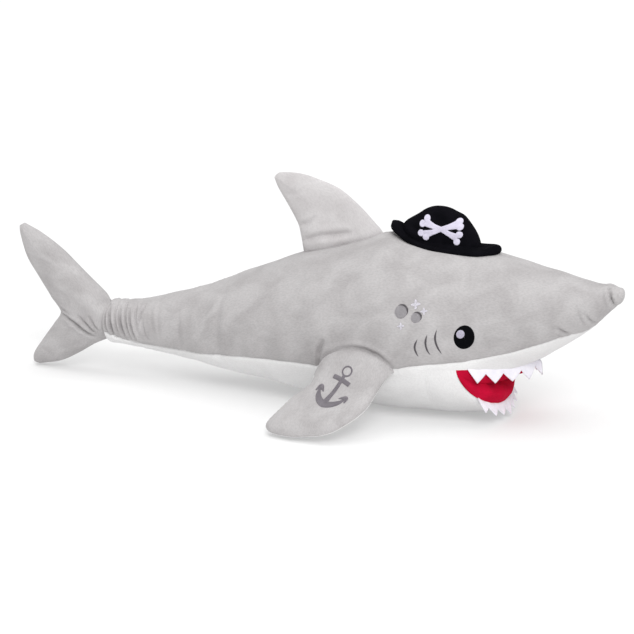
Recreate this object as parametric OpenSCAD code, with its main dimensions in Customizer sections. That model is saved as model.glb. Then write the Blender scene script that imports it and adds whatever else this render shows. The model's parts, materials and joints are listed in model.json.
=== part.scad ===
// Plush shark lying on its belly: a stuffed cloth body with jointed tail, fins, jaw and hat.
// Frame: nose along +X, back up along +Z, floor at Z = 0, origin under the middle of the length.
// Millimetres throughout. Angles round the body start at the back and grow down the right side.

/* [Body] */
// Length from the tip of the nose to the tips of the tail
body_length = 1000; // [980:5:1020]
// Width of the body at its fullest
body_width = 264; // [254:2:274]
// Height of the back above the floor at its highest
body_height = 264; // [256:2:272]

/* [Cloth] */
// Thickness of the pile fabric of the covers
cloth = 2; // [1.6:0.1:2.4]
// Thickness of the felt teeth and of the patches
felt = 1.6; // [1:0.1:2]
// Free space between a cover and the filling inside it
slack = 1.8; // [1.6:0.1:2.4]

/* [Joints] */
// Free space between a moving piece and its neighbour
gap = 1; // [0.8:0.1:1.5]
// How far the rear of the body lifts or drops, in degrees
lift_range = 12; // [6:1:14]
// How far the tail fin swings to each side, in degrees
swing_range = 35; // [20:1:38]
// How far the lower jaw closes, in degrees
jaw_range = 10; // [6:1:12]

/* [Tail] */
// Distance of the lift joint behind the middle of the toy
lift_back = 180; // [170:5:190]
// Distance of the tail fin joint behind the middle of the toy
swing_back = 345; // [340:1:350]

/* [Dorsal fin] */
// Height of the dorsal fin above its hinge line
dorsal_height = 110; // [90:1:118]
// Half the thickness of the dorsal fin at its root
dorsal_root = 16; // [12:1:18]

/* [Pectoral fins] */
// Span of a pectoral fin from its root to its far edge
pectoral_span = 121; // [105:1:122]
// Half the thickness of a pectoral fin at its root
pectoral_root = 14; // [10:1:16]
// Angle by which a pectoral fin hangs below level, in degrees
pectoral_droop = 34; // [28:1:35]

/* [Mouth] */
// Height of the upper rim of the mouth above the floor
mouth_height = 95; // [90:1:98]
// Number of teeth on the upper rim
upper_teeth_count = 10; // [6:2:12]
// Number of teeth on the lower rim
lower_teeth_count = 8; // [4:2:10]
// Length of a tooth
tooth_length = 22; // [14:1:24]

/* [Hat] */
// Length of the hat brim from tip to tip
brim_length = 172; // [160:2:180]
// Width of the hat brim across the head
brim_width = 80; // [70:2:90]
// Height of the hat crown above the head
crown_height = 57; // [50:1:62]

/* [Hidden] */

grey = "#b9b4b3";
white = "#ecebe8";
red = "#b3122f";
black = "#151518";
thread = "#77737a";
lilac = "#d9d6ea";
fill_colour = "#f4f2ea";

// Nominal body: [x, top, bottom, half width, angle of the grey and white seam]
nominal = [
    [-360, 124, 57, 33, 110], [-314, 127, 53, 37, 112], [-257, 138, 48, 44, 124],
    [-204, 153, 41, 56, 123], [-127, 182, 31, 75, 119], [-77, 203, 25, 89, 117],
    [-15, 225, 16, 104, 114], [72, 248, 5, 121, 112], [153, 263, -6, 132, 108],
    [218, 264, -6, 130, 103], [285, 257, 0, 105, 99], [316, 251, 58, 92, 104],
    [345, 245, 78, 82, 115], [381, 236, 98, 70, 119], [425, 226, 127, 49, 130],
    [457, 219, 153, 33, 180], [480, 214, 174, 21, 180], [494, 210, 187, 12, 180],
    [500, 205, 195, 5, 180]];
length_k = body_length / 1000;
width_k = body_width / 264;
height_k = body_height / 264;
stations = [for (r = nominal) [r[0] * length_k, r[1] * height_k, r[2] * height_k, r[3] * width_k, r[4]]];

// Smooth curve through the rows of a table, column c, at x
function row_before(x, t, i = 0) = i >= len(t) - 2 || x < t[i + 1][0] ? i : row_before(x, t, i + 1);
function slope(t, i, c) =
    let (a = max(i - 1, 0), b = min(i + 1, len(t) - 1)) (t[b][c] - t[a][c]) / (t[b][0] - t[a][0]);
function smooth_at(x, c, t = stations) =
    let (i = row_before(x, t), d = t[i + 1][0] - t[i][0], s = (x - t[i][0]) / d)
    (2 * s ^ 3 - 3 * s ^ 2 + 1) * t[i][c] + (s ^ 3 - 2 * s ^ 2 + s) * slope(t, i, c) * d
    + (3 * s ^ 2 - 2 * s ^ 3) * t[i + 1][c] + (s ^ 3 - s ^ 2) * slope(t, i + 1, c) * d;

// Half height, middle and half width of the section at x
function half_height(x) = (smooth_at(x, 1) - smooth_at(x, 2)) / 2;
function middle(x) = (smooth_at(x, 1) + smooth_at(x, 2)) / 2;
function half_width(x) = smooth_at(x, 3);
function seam(x) = min(180, smooth_at(x, 4));

// Point of the body at x and angle a round it, moved in by inset; the belly is flat on the floor
function skin(x, a, inset = 0) =
    [x, -(half_width(x) - inset) * sin(a), max(middle(x) + (half_height(x) - inset) * cos(a), inset)];
// Point of a round end at joint x, t degrees from the long axis, grown by extra
function round_end(x, t, a, extra) =
    let (h = half_height(x) + extra, w = half_width(x) + extra)
    [x + h * cos(t), -w * sin(t) * sin(a), middle(x) + h * sin(t) * cos(a)];
function steps(a, b, n) = [for (i = [0:n]) a + (b - a) * i / n];

lift_x = -lift_back * length_k;
swing_x = -swing_back * length_k;
throat_x = 283 * length_k;
torso_rear_x = lift_x + (half_height(lift_x) + gap) * sin(lift_range + 2);
stock_rear_x = swing_x + (half_width(swing_x) + gap) * sin(swing_range + 1);
torso_rows = steps(torso_rear_x, throat_x, 14);
snout_rows = steps(throat_x, 450 * length_k, 9);
nose_rows = [for (x = [460, 470, 480, 489, 496, 500]) x * length_k];
stock_rows = steps(stock_rear_x, lift_x, 7);
fill_in = cloth + slack;
// The fillings of torso and head stand off more, as their facets differ from the covers' facets
body_fill_in = fill_in + 1.2;

// A sheet between two grids of points, each a list of equal rows
module sheet(outer, inner) {
    rows = len(outer);
    cols = len(outer[0]);
    n = rows * cols;
    function at(i, j, side) = side * n + i * cols + j;
    function quad(a, b, c, d) = [[a, c, b], [a, d, c]];
    faces = [
        for (i = [0:rows - 2]) for (j = [0:cols - 2])
            each quad(at(i, j, 0), at(i, j + 1, 0), at(i + 1, j + 1, 0), at(i + 1, j, 0)),
        for (i = [0:rows - 2]) for (j = [0:cols - 2])
            each quad(at(i, j, 1), at(i + 1, j, 1), at(i + 1, j + 1, 1), at(i, j + 1, 1)),
        for (i = [0:rows - 2])
            each quad(at(i, 0, 1), at(i, 0, 0), at(i + 1, 0, 0), at(i + 1, 0, 1)),
        for (i = [0:rows - 2])
            each quad(at(i, cols - 1, 0), at(i, cols - 1, 1), at(i + 1, cols - 1, 1), at(i + 1, cols - 1, 0)),
        for (j = [0:cols - 2])
            each quad(at(0, j, 1), at(0, j + 1, 1), at(0, j + 1, 0), at(0, j, 0)),
        for (j = [0:cols - 2])
            each quad(at(rows - 1, j, 0), at(rows - 1, j + 1, 0), at(rows - 1, j + 1, 1), at(rows - 1, j, 1))];
    polyhedron([for (g = [outer, inner]) for (row = g) each row], faces);
}

// A solid through closed rings of equal count, capped from the mean point of its end rings
module rings_solid(rings) {
    m = len(rings);
    n = len(rings[0]);
    function mean(r) = [for (k = [0:2]) [for (p = r) 1] * [for (p = r) p[k]] / len(r)];
    function at(i, j) = i * n + j % n;
    faces = [
        for (i = [0:m - 2]) for (j = [0:n - 1]) each [
            [at(i, j), at(i + 1, j + 1), at(i, j + 1)], [at(i, j), at(i + 1, j), at(i + 1, j + 1)]],
        for (j = [0:n - 1]) [m * n, at(0, j), at(0, j + 1)],
        for (j = [0:n - 1]) [m * n + 1, at(m - 1, j + 1), at(m - 1, j)]];
    polyhedron([for (r = rings) each r, mean(rings[0]), mean(rings[m - 1])], faces);
}

// ---- Torso and head covers ----

function flank_grid(rows, from, to, n, inset) =
    [for (x = rows) [for (k = [0:n]) skin(x, from(x) + (to(x) - from(x)) * k / n, inset)]];

// Rim of the mouth: where the section crosses the mouth height, or the bottom in front of it
function rim(x) =
    smooth_at(x, 2) < mouth_height ? acos(max(-1, (mouth_height - middle(x)) / half_height(x))) : 180;
function rim_y(x) = half_width(x) * sin(rim(x));

module flank_cover() {
    rows = [each torso_rows, for (i = [1:len(snout_rows) - 1]) snout_rows[i], each nose_rows];
    from = function(x) 0;
    to = function(x) seam(x);
    sheet(flank_grid(rows, from, to, 7, 0), flank_grid(rows, from, to, 7, cloth));
}

module belly_cover() {
    from = function(x) seam(x);
    to = function(x) 360 - seam(x);
    sheet(flank_grid(torso_rows, from, to, 12, 0), flank_grid(torso_rows, from, to, 12, cloth));
}

module lip_half() {
    from = function(x) seam(x);
    to = function(x) max(rim(x), min(180, seam(x) + 1));
    sheet(flank_grid(snout_rows, from, to, 3, 0), flank_grid(snout_rows, from, to, 3, cloth));
}

// Roof of the mouth: a shallow arch from rim to rim, deepest along the middle
palate_rear_z = 22;
palate_front_x = 376 * length_k;
palate_count = 8;
palate_rows = steps(throat_x, 370 * length_k, 7);
function palate_low(x) =
    mouth_height - (mouth_height - palate_rear_z) * (palate_front_x - x) / (palate_front_x - throat_x);
// Point of the roof, s running from -1 at the right rim to 1 at the left rim
function palate_point(x, s, up) =
    [x, s * max(1, rim_y(x) - 3 * cloth), palate_low(x) + (mouth_height - palate_low(x)) * s ^ 2 + up];
function palate_grid(up) = [for (x = palate_rows) [for (s = steps(-1, 1, palate_count)) palate_point(x, s, up)]];

module palate_sheet() sheet(palate_grid(0), palate_grid(cloth));

// ---- Fillings of torso and head ----

function body_ring(x, n, inset) = [for (k = [0:n - 1]) skin(x, 360 * k / n, inset)];
function end_ring(x, t, n, extra) = [for (k = [0:n - 1]) round_end(x, t, 360 * k / n, extra)];
cap_angles = [4, 20, 36, 52, 66];
// The hollow ends are rounder than their facets, so they stand off a little more
cup_gap = gap + 1.6;

module torso_stuffing() {
    n = 20;
    rings_solid([
        for (t = cap_angles) end_ring(lift_x, t, n, cup_gap),
        for (x = steps(torso_rear_x + 8, throat_x, 14)) body_ring(x, n, body_fill_in)]);
}

function head_ring(x, n) =
    let (r = rim(x) - 6, m = palate_count)
    [for (k = [0:n]) skin(x, -r + 2 * r * k / n, body_fill_in),
        for (k = [1:m - 1]) palate_point(x, 2 * k / m - 1, body_fill_in + 1)];

module head_stuffing() {
    n = 14;
    rings_solid([for (x = steps(throat_x + slack, 366 * length_k, 7)) head_ring(x, n)]);
    front = [for (x = [366 + slack, 385, 405, 430, 457, 480, 492, 497]) x * length_k];
    rings_solid([for (x = front) body_ring(x, n + 4, min(body_fill_in + 0.6, half_width(x) - 1.5))]);
}

// ---- Details sewn on the flanks ----

// Places a flat patch on the right flank at height z, its X forward and its Z out of the body
module on_flank(x, z) {
    a = acos((z - middle(x)) / half_height(x));
    along = skin(x + 1, a) - skin(x - 1, a);
    round = skin(x, a - 1) - skin(x, a + 1);
    out = cross(along, round) / norm(cross(along, round));
    u = along / norm(along);
    v = cross(out, u);
    p = skin(x, a) + 0.1 * out;
    multmatrix([[u.x, v.x, out.x, p.x], [u.y, v.y, out.y, p.y], [u.z, v.z, out.z, p.z]]) children();
}

module oval(width, height, thick) linear_extrude(thick) scale([width / height, 1]) circle(d = height, $fn = 40);
module star(size) linear_extrude(felt / 2)
    polygon([for (i = [0:7]) (i % 2 == 0 ? size / 2 : size / 7) * [cos(45 * i), sin(45 * i)]]);
module gill(length, bow) {
    r = length ^ 2 / (8 * bow);
    half = asin(length / 2 / r);
    translate([r, 0]) linear_extrude(felt / 2) difference() {
        intersection() {
            circle(r = r + 1.5, $fn = 160);
            polygon([[0, 0], 2 * r * [-cos(half), sin(half)], 2 * r * [-1, 0], 2 * r * [-cos(half), -sin(half)]]);
        }
        circle(r = r - 1.5, $fn = 160);
    }
}

// ---- A stuffed fin: an outline in X and Y, filled out along Z ----

function closed_curve(p, n) =
    [for (i = [0:len(p) - 1]) let (m = len(p), a = p[(i + m - 1) % m], b = p[i], c = p[(i + 1) % m], d = p[(i + 2) % m])
        for (k = [0:n - 1]) let (s = k / n)
            0.5 * (2 * b + (c - a) * s + (2 * a - 5 * b + 4 * c - d) * s ^ 2 + (3 * b - a - 3 * c + d) * s ^ 3)];
fin_rings = [0.4, 0.7, 0.9, 1];

// Half thickness falls off towards the edge; in_by moves the surface in
function fin_point(centre, edge, s, thick, in_by) =
    let (reach = norm(edge - centre), p = centre + (edge - centre) * s * (1 - in_by * 1.5 / reach))
    [p.x, p.y, max(0, (thick(p) - in_by) * sqrt(max(0, 1 - s ^ 4)))];
function fin_grid(outline, centre, thick, in_by) =
    [for (s = fin_rings) [for (edge = outline) fin_point(centre, edge, s, thick, in_by)]];
function mirrored(grid) = [for (row = grid) [for (p = row) [p.x, p.y, -p.z]]];

// One face of the fin's cover, on the +Z side
module fin_panel(outline, centre, thick) {
    m = len(outline);
    k = len(fin_rings);
    outer = fin_grid(outline, centre, thick, 0);
    inner = fin_grid(outline, centre, thick, cloth);
    function at(i, j, side) = side * k * m + i * m + j % m;
    tip = 2 * k * m;
    faces = [
        for (j = [0:m - 1]) [tip, at(0, j + 1, 0), at(0, j, 0)],
        for (j = [0:m - 1]) [tip + 1, at(0, j, 1), at(0, j + 1, 1)],
        for (i = [0:k - 2]) for (j = [0:m - 1]) each [
            [at(i, j, 0), at(i, j + 1, 0), at(i + 1, j + 1, 0)], [at(i, j, 0), at(i + 1, j + 1, 0), at(i + 1, j, 0)],
            [at(i, j, 1), at(i + 1, j + 1, 1), at(i, j + 1, 1)], [at(i, j, 1), at(i + 1, j, 1), at(i + 1, j + 1, 1)]],
        for (j = [0:m - 1]) each [
            [at(k - 1, j, 0), at(k - 1, j + 1, 0), at(k - 1, j + 1, 1)],
            [at(k - 1, j, 0), at(k - 1, j + 1, 1), at(k - 1, j, 1)]]];
    polyhedron([for (g = [outer, inner]) for (row = g) each row,
        [centre.x, centre.y, thick(centre)], [centre.x, centre.y, thick(centre) - cloth]], faces);
}

module fin_stuffing(outline, centre, thick) {
    m = len(outline);
    half = fin_grid(outline, centre, thick, fill_in);
    k = len(fin_rings);
    points = [for (row = half) each row, for (i = [0:k - 2]) each mirrored(half)[i],
        [centre.x, centre.y, thick(centre) - fill_in], [centre.x, centre.y, fill_in - thick(centre)]];
    top = (2 * k - 1) * m;
    function up(i, j) = i * m + j % m;
    function down(i, j) = i == k - 1 ? up(i, j) : (k + i) * m + j % m;
    faces = [
        for (j = [0:m - 1]) each [[top, up(0, j + 1), up(0, j)], [top + 1, down(0, j), down(0, j + 1)]],
        for (i = [0:k - 2]) for (j = [0:m - 1]) each [
            [up(i, j), up(i, j + 1), up(i + 1, j + 1)], [up(i, j), up(i + 1, j + 1), up(i + 1, j)],
            [down(i, j), down(i + 1, j + 1), down(i, j + 1)], [down(i, j), down(i + 1, j), down(i + 1, j + 1)]]];
    polyhedron(points, faces);
}

// ---- Rear of the body and the tail fin ----

// Rows along the rear of the body, then over the round end in front of the lift joint
function stock_grid(from, to, n, inset) = [
    for (x = stock_rows) [for (k = [0:n]) skin(x, from(x) + (to(x) - from(x)) * k / n, inset)],
    for (t = [68, 46]) [for (k = [0:n])
        round_end(lift_x, t, from(lift_x) + (to(lift_x) - from(lift_x)) * k / n, -inset)]];
module stock_flank() {
    from = function(x) 0;
    to = function(x) seam(x);
    sheet(stock_grid(from, to, 6, 0), stock_grid(from, to, 6, cloth));
}
module stock_belly() {
    from = function(x) seam(x);
    to = function(x) 360 - seam(x);
    sheet(stock_grid(from, to, 6, 0), stock_grid(from, to, 6, cloth));
}
module stock_stuffing() {
    n = 16;
    rings_solid([
        for (t = [5, 22, 39]) end_ring(swing_x, t, n, cup_gap),
        for (x = stock_rows) body_ring(x, n, fill_in),
        for (t = [65, 40, 20, 8]) end_ring(lift_x, t, n, -fill_in)]);
}

// Side view of the tail fin, its long upper lobe first, then the notch and the lower lobe
tail_outline = [for (p = [
    [-312, 98], [-328, 120], [-363, 149], [-399, 183], [-432, 215], [-463, 234], [-490, 242], [-500, 234],
    [-496, 212], [-484, 177], [-464, 143], [-444, 115], [-433, 96], [-441, 80], [-463, 51], [-481, 24],
    [-484, 8], [-470, 3], [-436, 12], [-402, 29], [-371, 45], [-330, 62], [-312, 82]])
    [p[0] * length_k, p[1]]];
tail_centre = [-372 * length_k, 99];
tail_tip_half = 9;
tail_fade = 95;
tail_thick = function(p) tail_tip_half + (half_width(swing_x) - tail_tip_half)
    / (1 + (max(0, swing_x - p.x) / tail_fade) ^ 2 * 3);
module tail_place() rotate([90, 0, 0]) children();

// ---- Dorsal fin: its hinge line runs above the back ----

dorsal_rear_x = -5 * length_k;
dorsal_front_x = 130 * length_k;
function above_back(x) = smooth_at(x, 1) + dorsal_root + gap;
dorsal_base = norm([dorsal_front_x - dorsal_rear_x, above_back(dorsal_front_x) - above_back(dorsal_rear_x)]);
dorsal_slope = atan((above_back(dorsal_front_x) - above_back(dorsal_rear_x)) / (dorsal_front_x - dorsal_rear_x));
dorsal_sag = 4;
// Base, raked leading edge, rounded tip that leans back, hollow trailing edge
dorsal_outline = [for (p = [
    [0, -0.13], [0.5, -0.14], [0.96, -0.12], [0.97, 0], [0.88, 0.09], [0.76, 0.32], [0.57, 0.61], [0.35, 0.8],
    [0.14, 0.94], [-0.06, 1], [-0.16, 0.93], [-0.15, 0.78], [-0.08, 0.53], [-0.02, 0.26], [-0.02, 0]])
    [p[0] * dorsal_base, p[1] * dorsal_height]];
dorsal_centre = [0.38, 0.3] * [[dorsal_base, 0], [0, dorsal_height]];
dorsal_thick = function(p) dorsal_root * (1 - 0.55 * max(0, p.y) / dorsal_height);
module dorsal_place() translate([dorsal_rear_x, 0, above_back(dorsal_rear_x) + dorsal_sag])
    rotate([90, -dorsal_slope, 0]) children();

// ---- Pectoral fins, drawn for the left side ----

fin_rear = [61 * length_k, 112 * width_k, 70];
fin_toe = 6;
fin_rise = 4.4;
fin_out = pectoral_root + gap + 4;
// Root, rounded leading edge, swept tip, trailing edge; X forward along the root, Y out
pectoral_outline = [for (p = [
    [10, -0.09], [64, -0.1], [114, -0.09], [121, 0.01], [118, 0.2], [112, 0.42], [98, 0.64], [74, 0.84],
    [44, 0.95], [12, 1], [-22, 0.98], [-39, 0.88], [-40, 0.76], [-31, 0.6], [-19, 0.41], [-6, 0.22], [1, 0.05]])
    [p[0] * length_k, p[1] * pectoral_span]];
pectoral_centre = [50 * length_k, 0.42 * pectoral_span];
pectoral_thick = function(p) pectoral_root * (1 - 0.45 * max(0, p.y) / pectoral_span);
module pectoral_place() translate(fin_rear + [0, fin_out, 0])
    rotate([0, -fin_rise, fin_toe]) rotate([-pectoral_droop, 0, 0]) children();

// Anchor in satin stitch on top of the right fin
module anchor(size) linear_extrude(felt) {
    stroke = size / 9;
    translate([-stroke / 2, -size * 0.42]) square([stroke, size * 0.72]);
    translate([-size * 0.2, size * 0.16]) square([size * 0.4, stroke]);
    translate([0, size * 0.38]) difference() {
        circle(r = size * 0.12, $fn = 40);
        circle(r = size * 0.05, $fn = 40);
    }
    difference() {
        circle(r = size * 0.45, $fn = 60);
        translate([0, size * 0.08]) circle(r = size * 0.42, $fn = 60);
        translate([-size, -size * 0.12]) square([2 * size, size]);
    }
    for (side = [-1, 1]) translate([side * size * 0.4, -size * 0.12]) rotate(side * -20)
        polygon(size * [[-0.13, -0.04], [0.13, -0.04], [0, 0.16]]);
}

// ---- Lower jaw ----

jaw_hinge_z = 22;
jaw_front_x = 330 * length_k;
jaw_rear_x = throat_x + gap;
// Rows of the jaw from the throat to its front, closer together where it rounds off
jaw_s = [for (t = steps(0, 90, 7)) sin(t)];
// The jaw narrows and its rim drops towards the front
function jaw_narrow(s) = sqrt(1 - 0.97 * s ^ 2);
function jaw_rim_z(s) = 70 - 47 * s ^ 0.8;
function jaw_low(s) = 2 + 6 * s ^ 2;
function jaw_floor(s) = 20 + 21 * s * (1 - s ^ 8);
function jaw_x(s, z) = jaw_rear_x + abs(z - jaw_hinge_z) * tan(jaw_range + 2) * (1 - s) + s * (jaw_front_x - jaw_rear_x);
// Half width of the throat section at height z, as the belly has it
function throat_y(z) = half_width(throat_x) * sqrt(max(0, 1 - ((z - middle(throat_x)) / half_height(throat_x)) ^ 2));
function jaw_outer(s, v, inset) =
    let (low = jaw_low(s) + inset, z = low + (jaw_rim_z(s) - low) * v ^ 2,
        y = sign(v) * max(0, throat_y(z) * jaw_narrow(s) * min(1, 0.35 + 1.6 * abs(v)) - inset))
    [jaw_x(s, z) - (s == 1 ? inset : 0), abs(v) < 0.01 ? 0 : y, z];
function jaw_top(s, v, down) =
    let (edge = jaw_outer(s, 1, cloth + 1.5), z = jaw_floor(s) + (jaw_rim_z(s) - jaw_floor(s)) * v ^ 2 - down)
    [jaw_x(s, z), v * edge.y, z];
jaw_v = steps(-1, 1, 10);
module jaw_shell() sheet([for (s = jaw_s) [for (v = jaw_v) jaw_outer(s, v, 0)]],
    [for (s = jaw_s) [for (v = jaw_v) jaw_outer(s, v, cloth)]]);
module jaw_floor_sheet() sheet([for (s = jaw_s) [for (v = -jaw_v) jaw_top(s, v * 0.98, 0)]],
    [for (s = jaw_s) [for (v = -jaw_v) jaw_top(s, v * 0.98, cloth)]]);
// The filling stops short of the thin edge of the jaw
module jaw_stuffing() rings_solid([for (s = steps(0.03, 0.9, 5)) [
    for (v = steps(-0.88, 0.88, 8)) jaw_outer(s, v, fill_in + 0.6),
    for (v = [0.72, 0.4, 0, -0.4, -0.72]) jaw_top(s, v, fill_in + 0.4)]]);

// ---- Teeth ----

// How far the curved rim bulges past the straight line behind a tooth
rim_bulge = 2.4;
// A row of felt teeth hanging from points along a rim
module teeth_along(rim_points, length) {
    for (i = [0:len(rim_points) - 2]) {
        a = rim_points[i];
        b = rim_points[i + 1];
        across = b - a;
        yaw = atan2(across.y, across.x);
        out = [sin(yaw), -cos(yaw), 0] * (felt / 2 + rim_bulge);
        width = norm([across.x, across.y]) - felt * 1.4;
        translate((a + b) / 2 + out) rotate([90, 0, yaw]) translate([0, 0, -felt / 2]) linear_extrude(felt)
            polygon([[-width / 2, 0], [0, -length], [width / 2, 0]]);
    }
}
// The upper rim followed from the right corner round the front to the left corner
function upper_rim(s) = let (x = throat_x + 8 + (373 * length_k - throat_x - 8) * sin(90 * (1 - abs(s))) ^ 0.8)
    [x, sign(s) * rim_y(x), mouth_height - 1];
function lower_rim(s) = let (p = jaw_outer(cos(90 * s), 1, 0)) [p.x, sign(s) * p.y, p.z - 3];

// ---- Hat ----

hat_x = 226 * length_k;
hat_gap = 2.2;
crown_x = 220 * length_k;
crown_half = 62;
crown_depth = 26;
crown_gap = 1.2;
brim_thick = 5;
function back_height(x, y) =
    middle(x) + half_height(x) * sqrt(max(0, 1 - (y / half_width(x)) ^ 2));
function brim_curl(u) = u < 0 ? 17 * abs(u) ^ 3 : 9 * u ^ 3;
function brim_point(s, a, up) =
    let (u = s * cos(a), x = hat_x + brim_length / 2 * u, y = s * brim_width / 2 * sin(a))
    [x, y, back_height(x, y) + hat_gap + brim_curl(u) + up];
brim_rings = [0.08, 0.35, 0.6, 0.8, 1];
function reverse_of(list) = [for (i = [len(list) - 1:-1:0]) list[i]];
module brim_sheet() {
    n = 24;
    rings_solid([for (s = brim_rings) [for (k = [0:n - 1]) brim_point(s, 360 * k / n, 0)],
        for (s = reverse_of(brim_rings)) [for (k = [0:n - 1]) brim_point(s, 360 * k / n, brim_thick)]]);
}
// The crown leans forward as it narrows to the seam along its top
crown_levels = [0, 0.35, 0.65, 0.87, 0.98];
function crown_seat(x, y) =
    back_height(x, y) + hat_gap + brim_curl((x - hat_x) / brim_length * 2) + brim_thick + crown_gap;
function crown_point(level, a, inset) =
    let (shrink = sqrt(1 - level ^ 2), x = crown_x + (crown_half - inset) * shrink ^ 0.7 * cos(a),
        y = (crown_depth - inset) * shrink * sin(a))
    [x, y, crown_seat(x, y) * (1 - level) + (back_height(crown_x, 0) + crown_height - inset) * level];
function crown_grid(from, to, n, inset) =
    [for (l = crown_levels) [for (k = [0:n]) crown_point(l, from + (to - from) * k / n, inset)]];
module crown_front() sheet(crown_grid(0, -180, 9, cloth), crown_grid(0, -180, 9, 0));
// Ring of the filling's underside, drawn in towards its middle
function crown_floor(scale, a) =
    let (x = crown_x + (crown_half - fill_in) * scale * cos(a), y = (crown_depth - fill_in) * scale * sin(a))
    [x, y, crown_seat(x, y) + slack];
module crown_stuffing() rings_solid([
    for (scale = [0.1, 0.55, 0.98]) [for (k = [0:17]) crown_floor(scale, 20 * k)],
    for (l = [0.1, 0.35, 0.65, 0.87, 0.95]) [for (k = [0:17]) crown_point(l, 20 * k, fill_in)]]);
module crossbones(size) linear_extrude(felt) for (turn = [-30, 30]) rotate(turn) {
    square([size * 0.8, size * 0.13], center = true);
    for (end = [-1, 1]) for (side = [-1, 1])
        translate([end * size * 0.42, side * size * 0.07]) circle(r = size * 0.09, $fn = 32);
}

// ---- The pieces ----

module left_of() mirror([0, 1, 0]) children();

module right_side_panel() color(grey) flank_cover();
module left_side_panel() color(grey) left_of() flank_cover();
module belly_panel() color(white) belly_cover();
module snout_underside() color(white) {
    lip_half();
    left_of() lip_half();
}
module palate_lining() color(red) palate_sheet();
module upper_teeth() color(lilac) teeth_along([for (s = steps(-1, 1, upper_teeth_count)) upper_rim(s)],
    tooth_length);
module torso_filling() color(fill_colour) torso_stuffing();
module head_filling() color(fill_colour) head_stuffing();

module eye() on_flank(284, 148) oval(31, 36, felt);
module eye_highlight() on_flank(284, 148) translate([-5, 6, felt + 0.05]) oval(12, 13, felt / 2);
module right_eye() color(black) eye();
module left_eye() color(black) left_of() eye();
module right_eye_highlight() color(lilac) eye_highlight();
module left_eye_highlight() color(lilac) left_of() eye_highlight();

// Three gill lines behind the eye, bowed towards the tail
module gills() for (g = [[246, 139, 44, 5], [231, 136, 36, 5], [217, 133, 28, 4]])
    on_flank(g[0], g[1]) rotate(14) gill(g[2], g[3]);
module right_gill_stitches() color(thread) gills();
module left_gill_stitches() color(thread) left_of() gills();

module cheek_spots() for (c = [[193, 182, 20], [216, 175, 15]]) on_flank(c[0], c[1]) oval(c[2], c[2], felt / 2);
module right_cheek_spots() color(thread) cheek_spots();
module left_cheek_spots() color(thread) left_of() cheek_spots();
module cheek_sparkles() for (c = [[212, 194, 10], [226, 184, 7], [195, 163, 8]]) on_flank(c[0], c[1]) star(c[2]);
module right_cheek_sparkles() color(lilac) cheek_sparkles();
module left_cheek_sparkles() color(lilac) left_of() cheek_sparkles();

module tail_stock_right_cover() color(grey) stock_flank();
module tail_stock_left_cover() color(grey) left_of() stock_flank();
module tail_stock_belly_cover() color(white) stock_belly();
module tail_stock_filling() color(fill_colour) stock_stuffing();

tail_curve = closed_curve(tail_outline, 2);
module tail_fin_right_panel() color(grey) tail_place() fin_panel(tail_curve, tail_centre, tail_thick);
module tail_fin_left_panel() color(grey) left_of() tail_place() fin_panel(tail_curve, tail_centre, tail_thick);
module tail_fin_filling() color(fill_colour) tail_place() fin_stuffing(tail_curve, tail_centre, tail_thick);

dorsal_curve = closed_curve(dorsal_outline, 2);
module dorsal_fin_right_panel() color(grey) dorsal_place() fin_panel(dorsal_curve, dorsal_centre, dorsal_thick);
module dorsal_fin_left_panel() color(grey) left_of() dorsal_fin_right_panel();
module dorsal_fin_filling() color(fill_colour) dorsal_place()
    fin_stuffing(dorsal_curve, dorsal_centre, dorsal_thick);

pectoral_curve = closed_curve(pectoral_outline, 2);
module fin_top() pectoral_place() fin_panel(pectoral_curve, pectoral_centre, pectoral_thick);
module fin_under() pectoral_place() mirror([0, 0, 1]) fin_panel(pectoral_curve, pectoral_centre, pectoral_thick);
module fin_inside() pectoral_place() fin_stuffing(pectoral_curve, pectoral_centre, pectoral_thick);
module left_fin_top_panel() color(grey) fin_top();
module left_fin_underside() color(white) fin_under();
module left_fin_filling() color(fill_colour) fin_inside();
module right_fin_top_panel() color(grey) left_of() fin_top();
module right_fin_underside() color(white) left_of() fin_under();
module right_fin_filling() color(fill_colour) left_of() fin_inside();
anchor_spot = [40, 0.34 * pectoral_span];
pectoral_taper = atan(0.45 * pectoral_root / pectoral_span);
module anchor_embroidery() color(thread) left_of() pectoral_place()
    translate([anchor_spot.x, anchor_spot.y, pectoral_thick(anchor_spot) + 0.2])
    rotate([-pectoral_taper, 0, 0]) rotate(200) mirror([1, 0, 0]) anchor(62);

module jaw_cover() color(white) jaw_shell();
module jaw_lining() color(red) jaw_floor_sheet();
module lower_teeth() color(lilac) teeth_along([for (s = steps(-0.85, 0.85, lower_teeth_count)) lower_rim(s)],
    0.72 * tooth_length);
module jaw_filling() color(fill_colour) jaw_stuffing();

module hat_front_panel() color(black) crown_front();
module hat_back_panel() color(black) left_of() crown_front();
module hat_brim() color(black) brim_sheet();
// The emblem lies flat against the front of the crown, which leans back
emblem_level = 0.42;
emblem_lean = 14;
module hat_emblem() color(lilac) translate(crown_point(emblem_level, -90, 0) + [-3, -0.8, 1.5])
    rotate([90 - emblem_lean, 0, 0]) crossbones(66);
module hat_filling() color(fill_colour) crown_stuffing();

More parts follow.
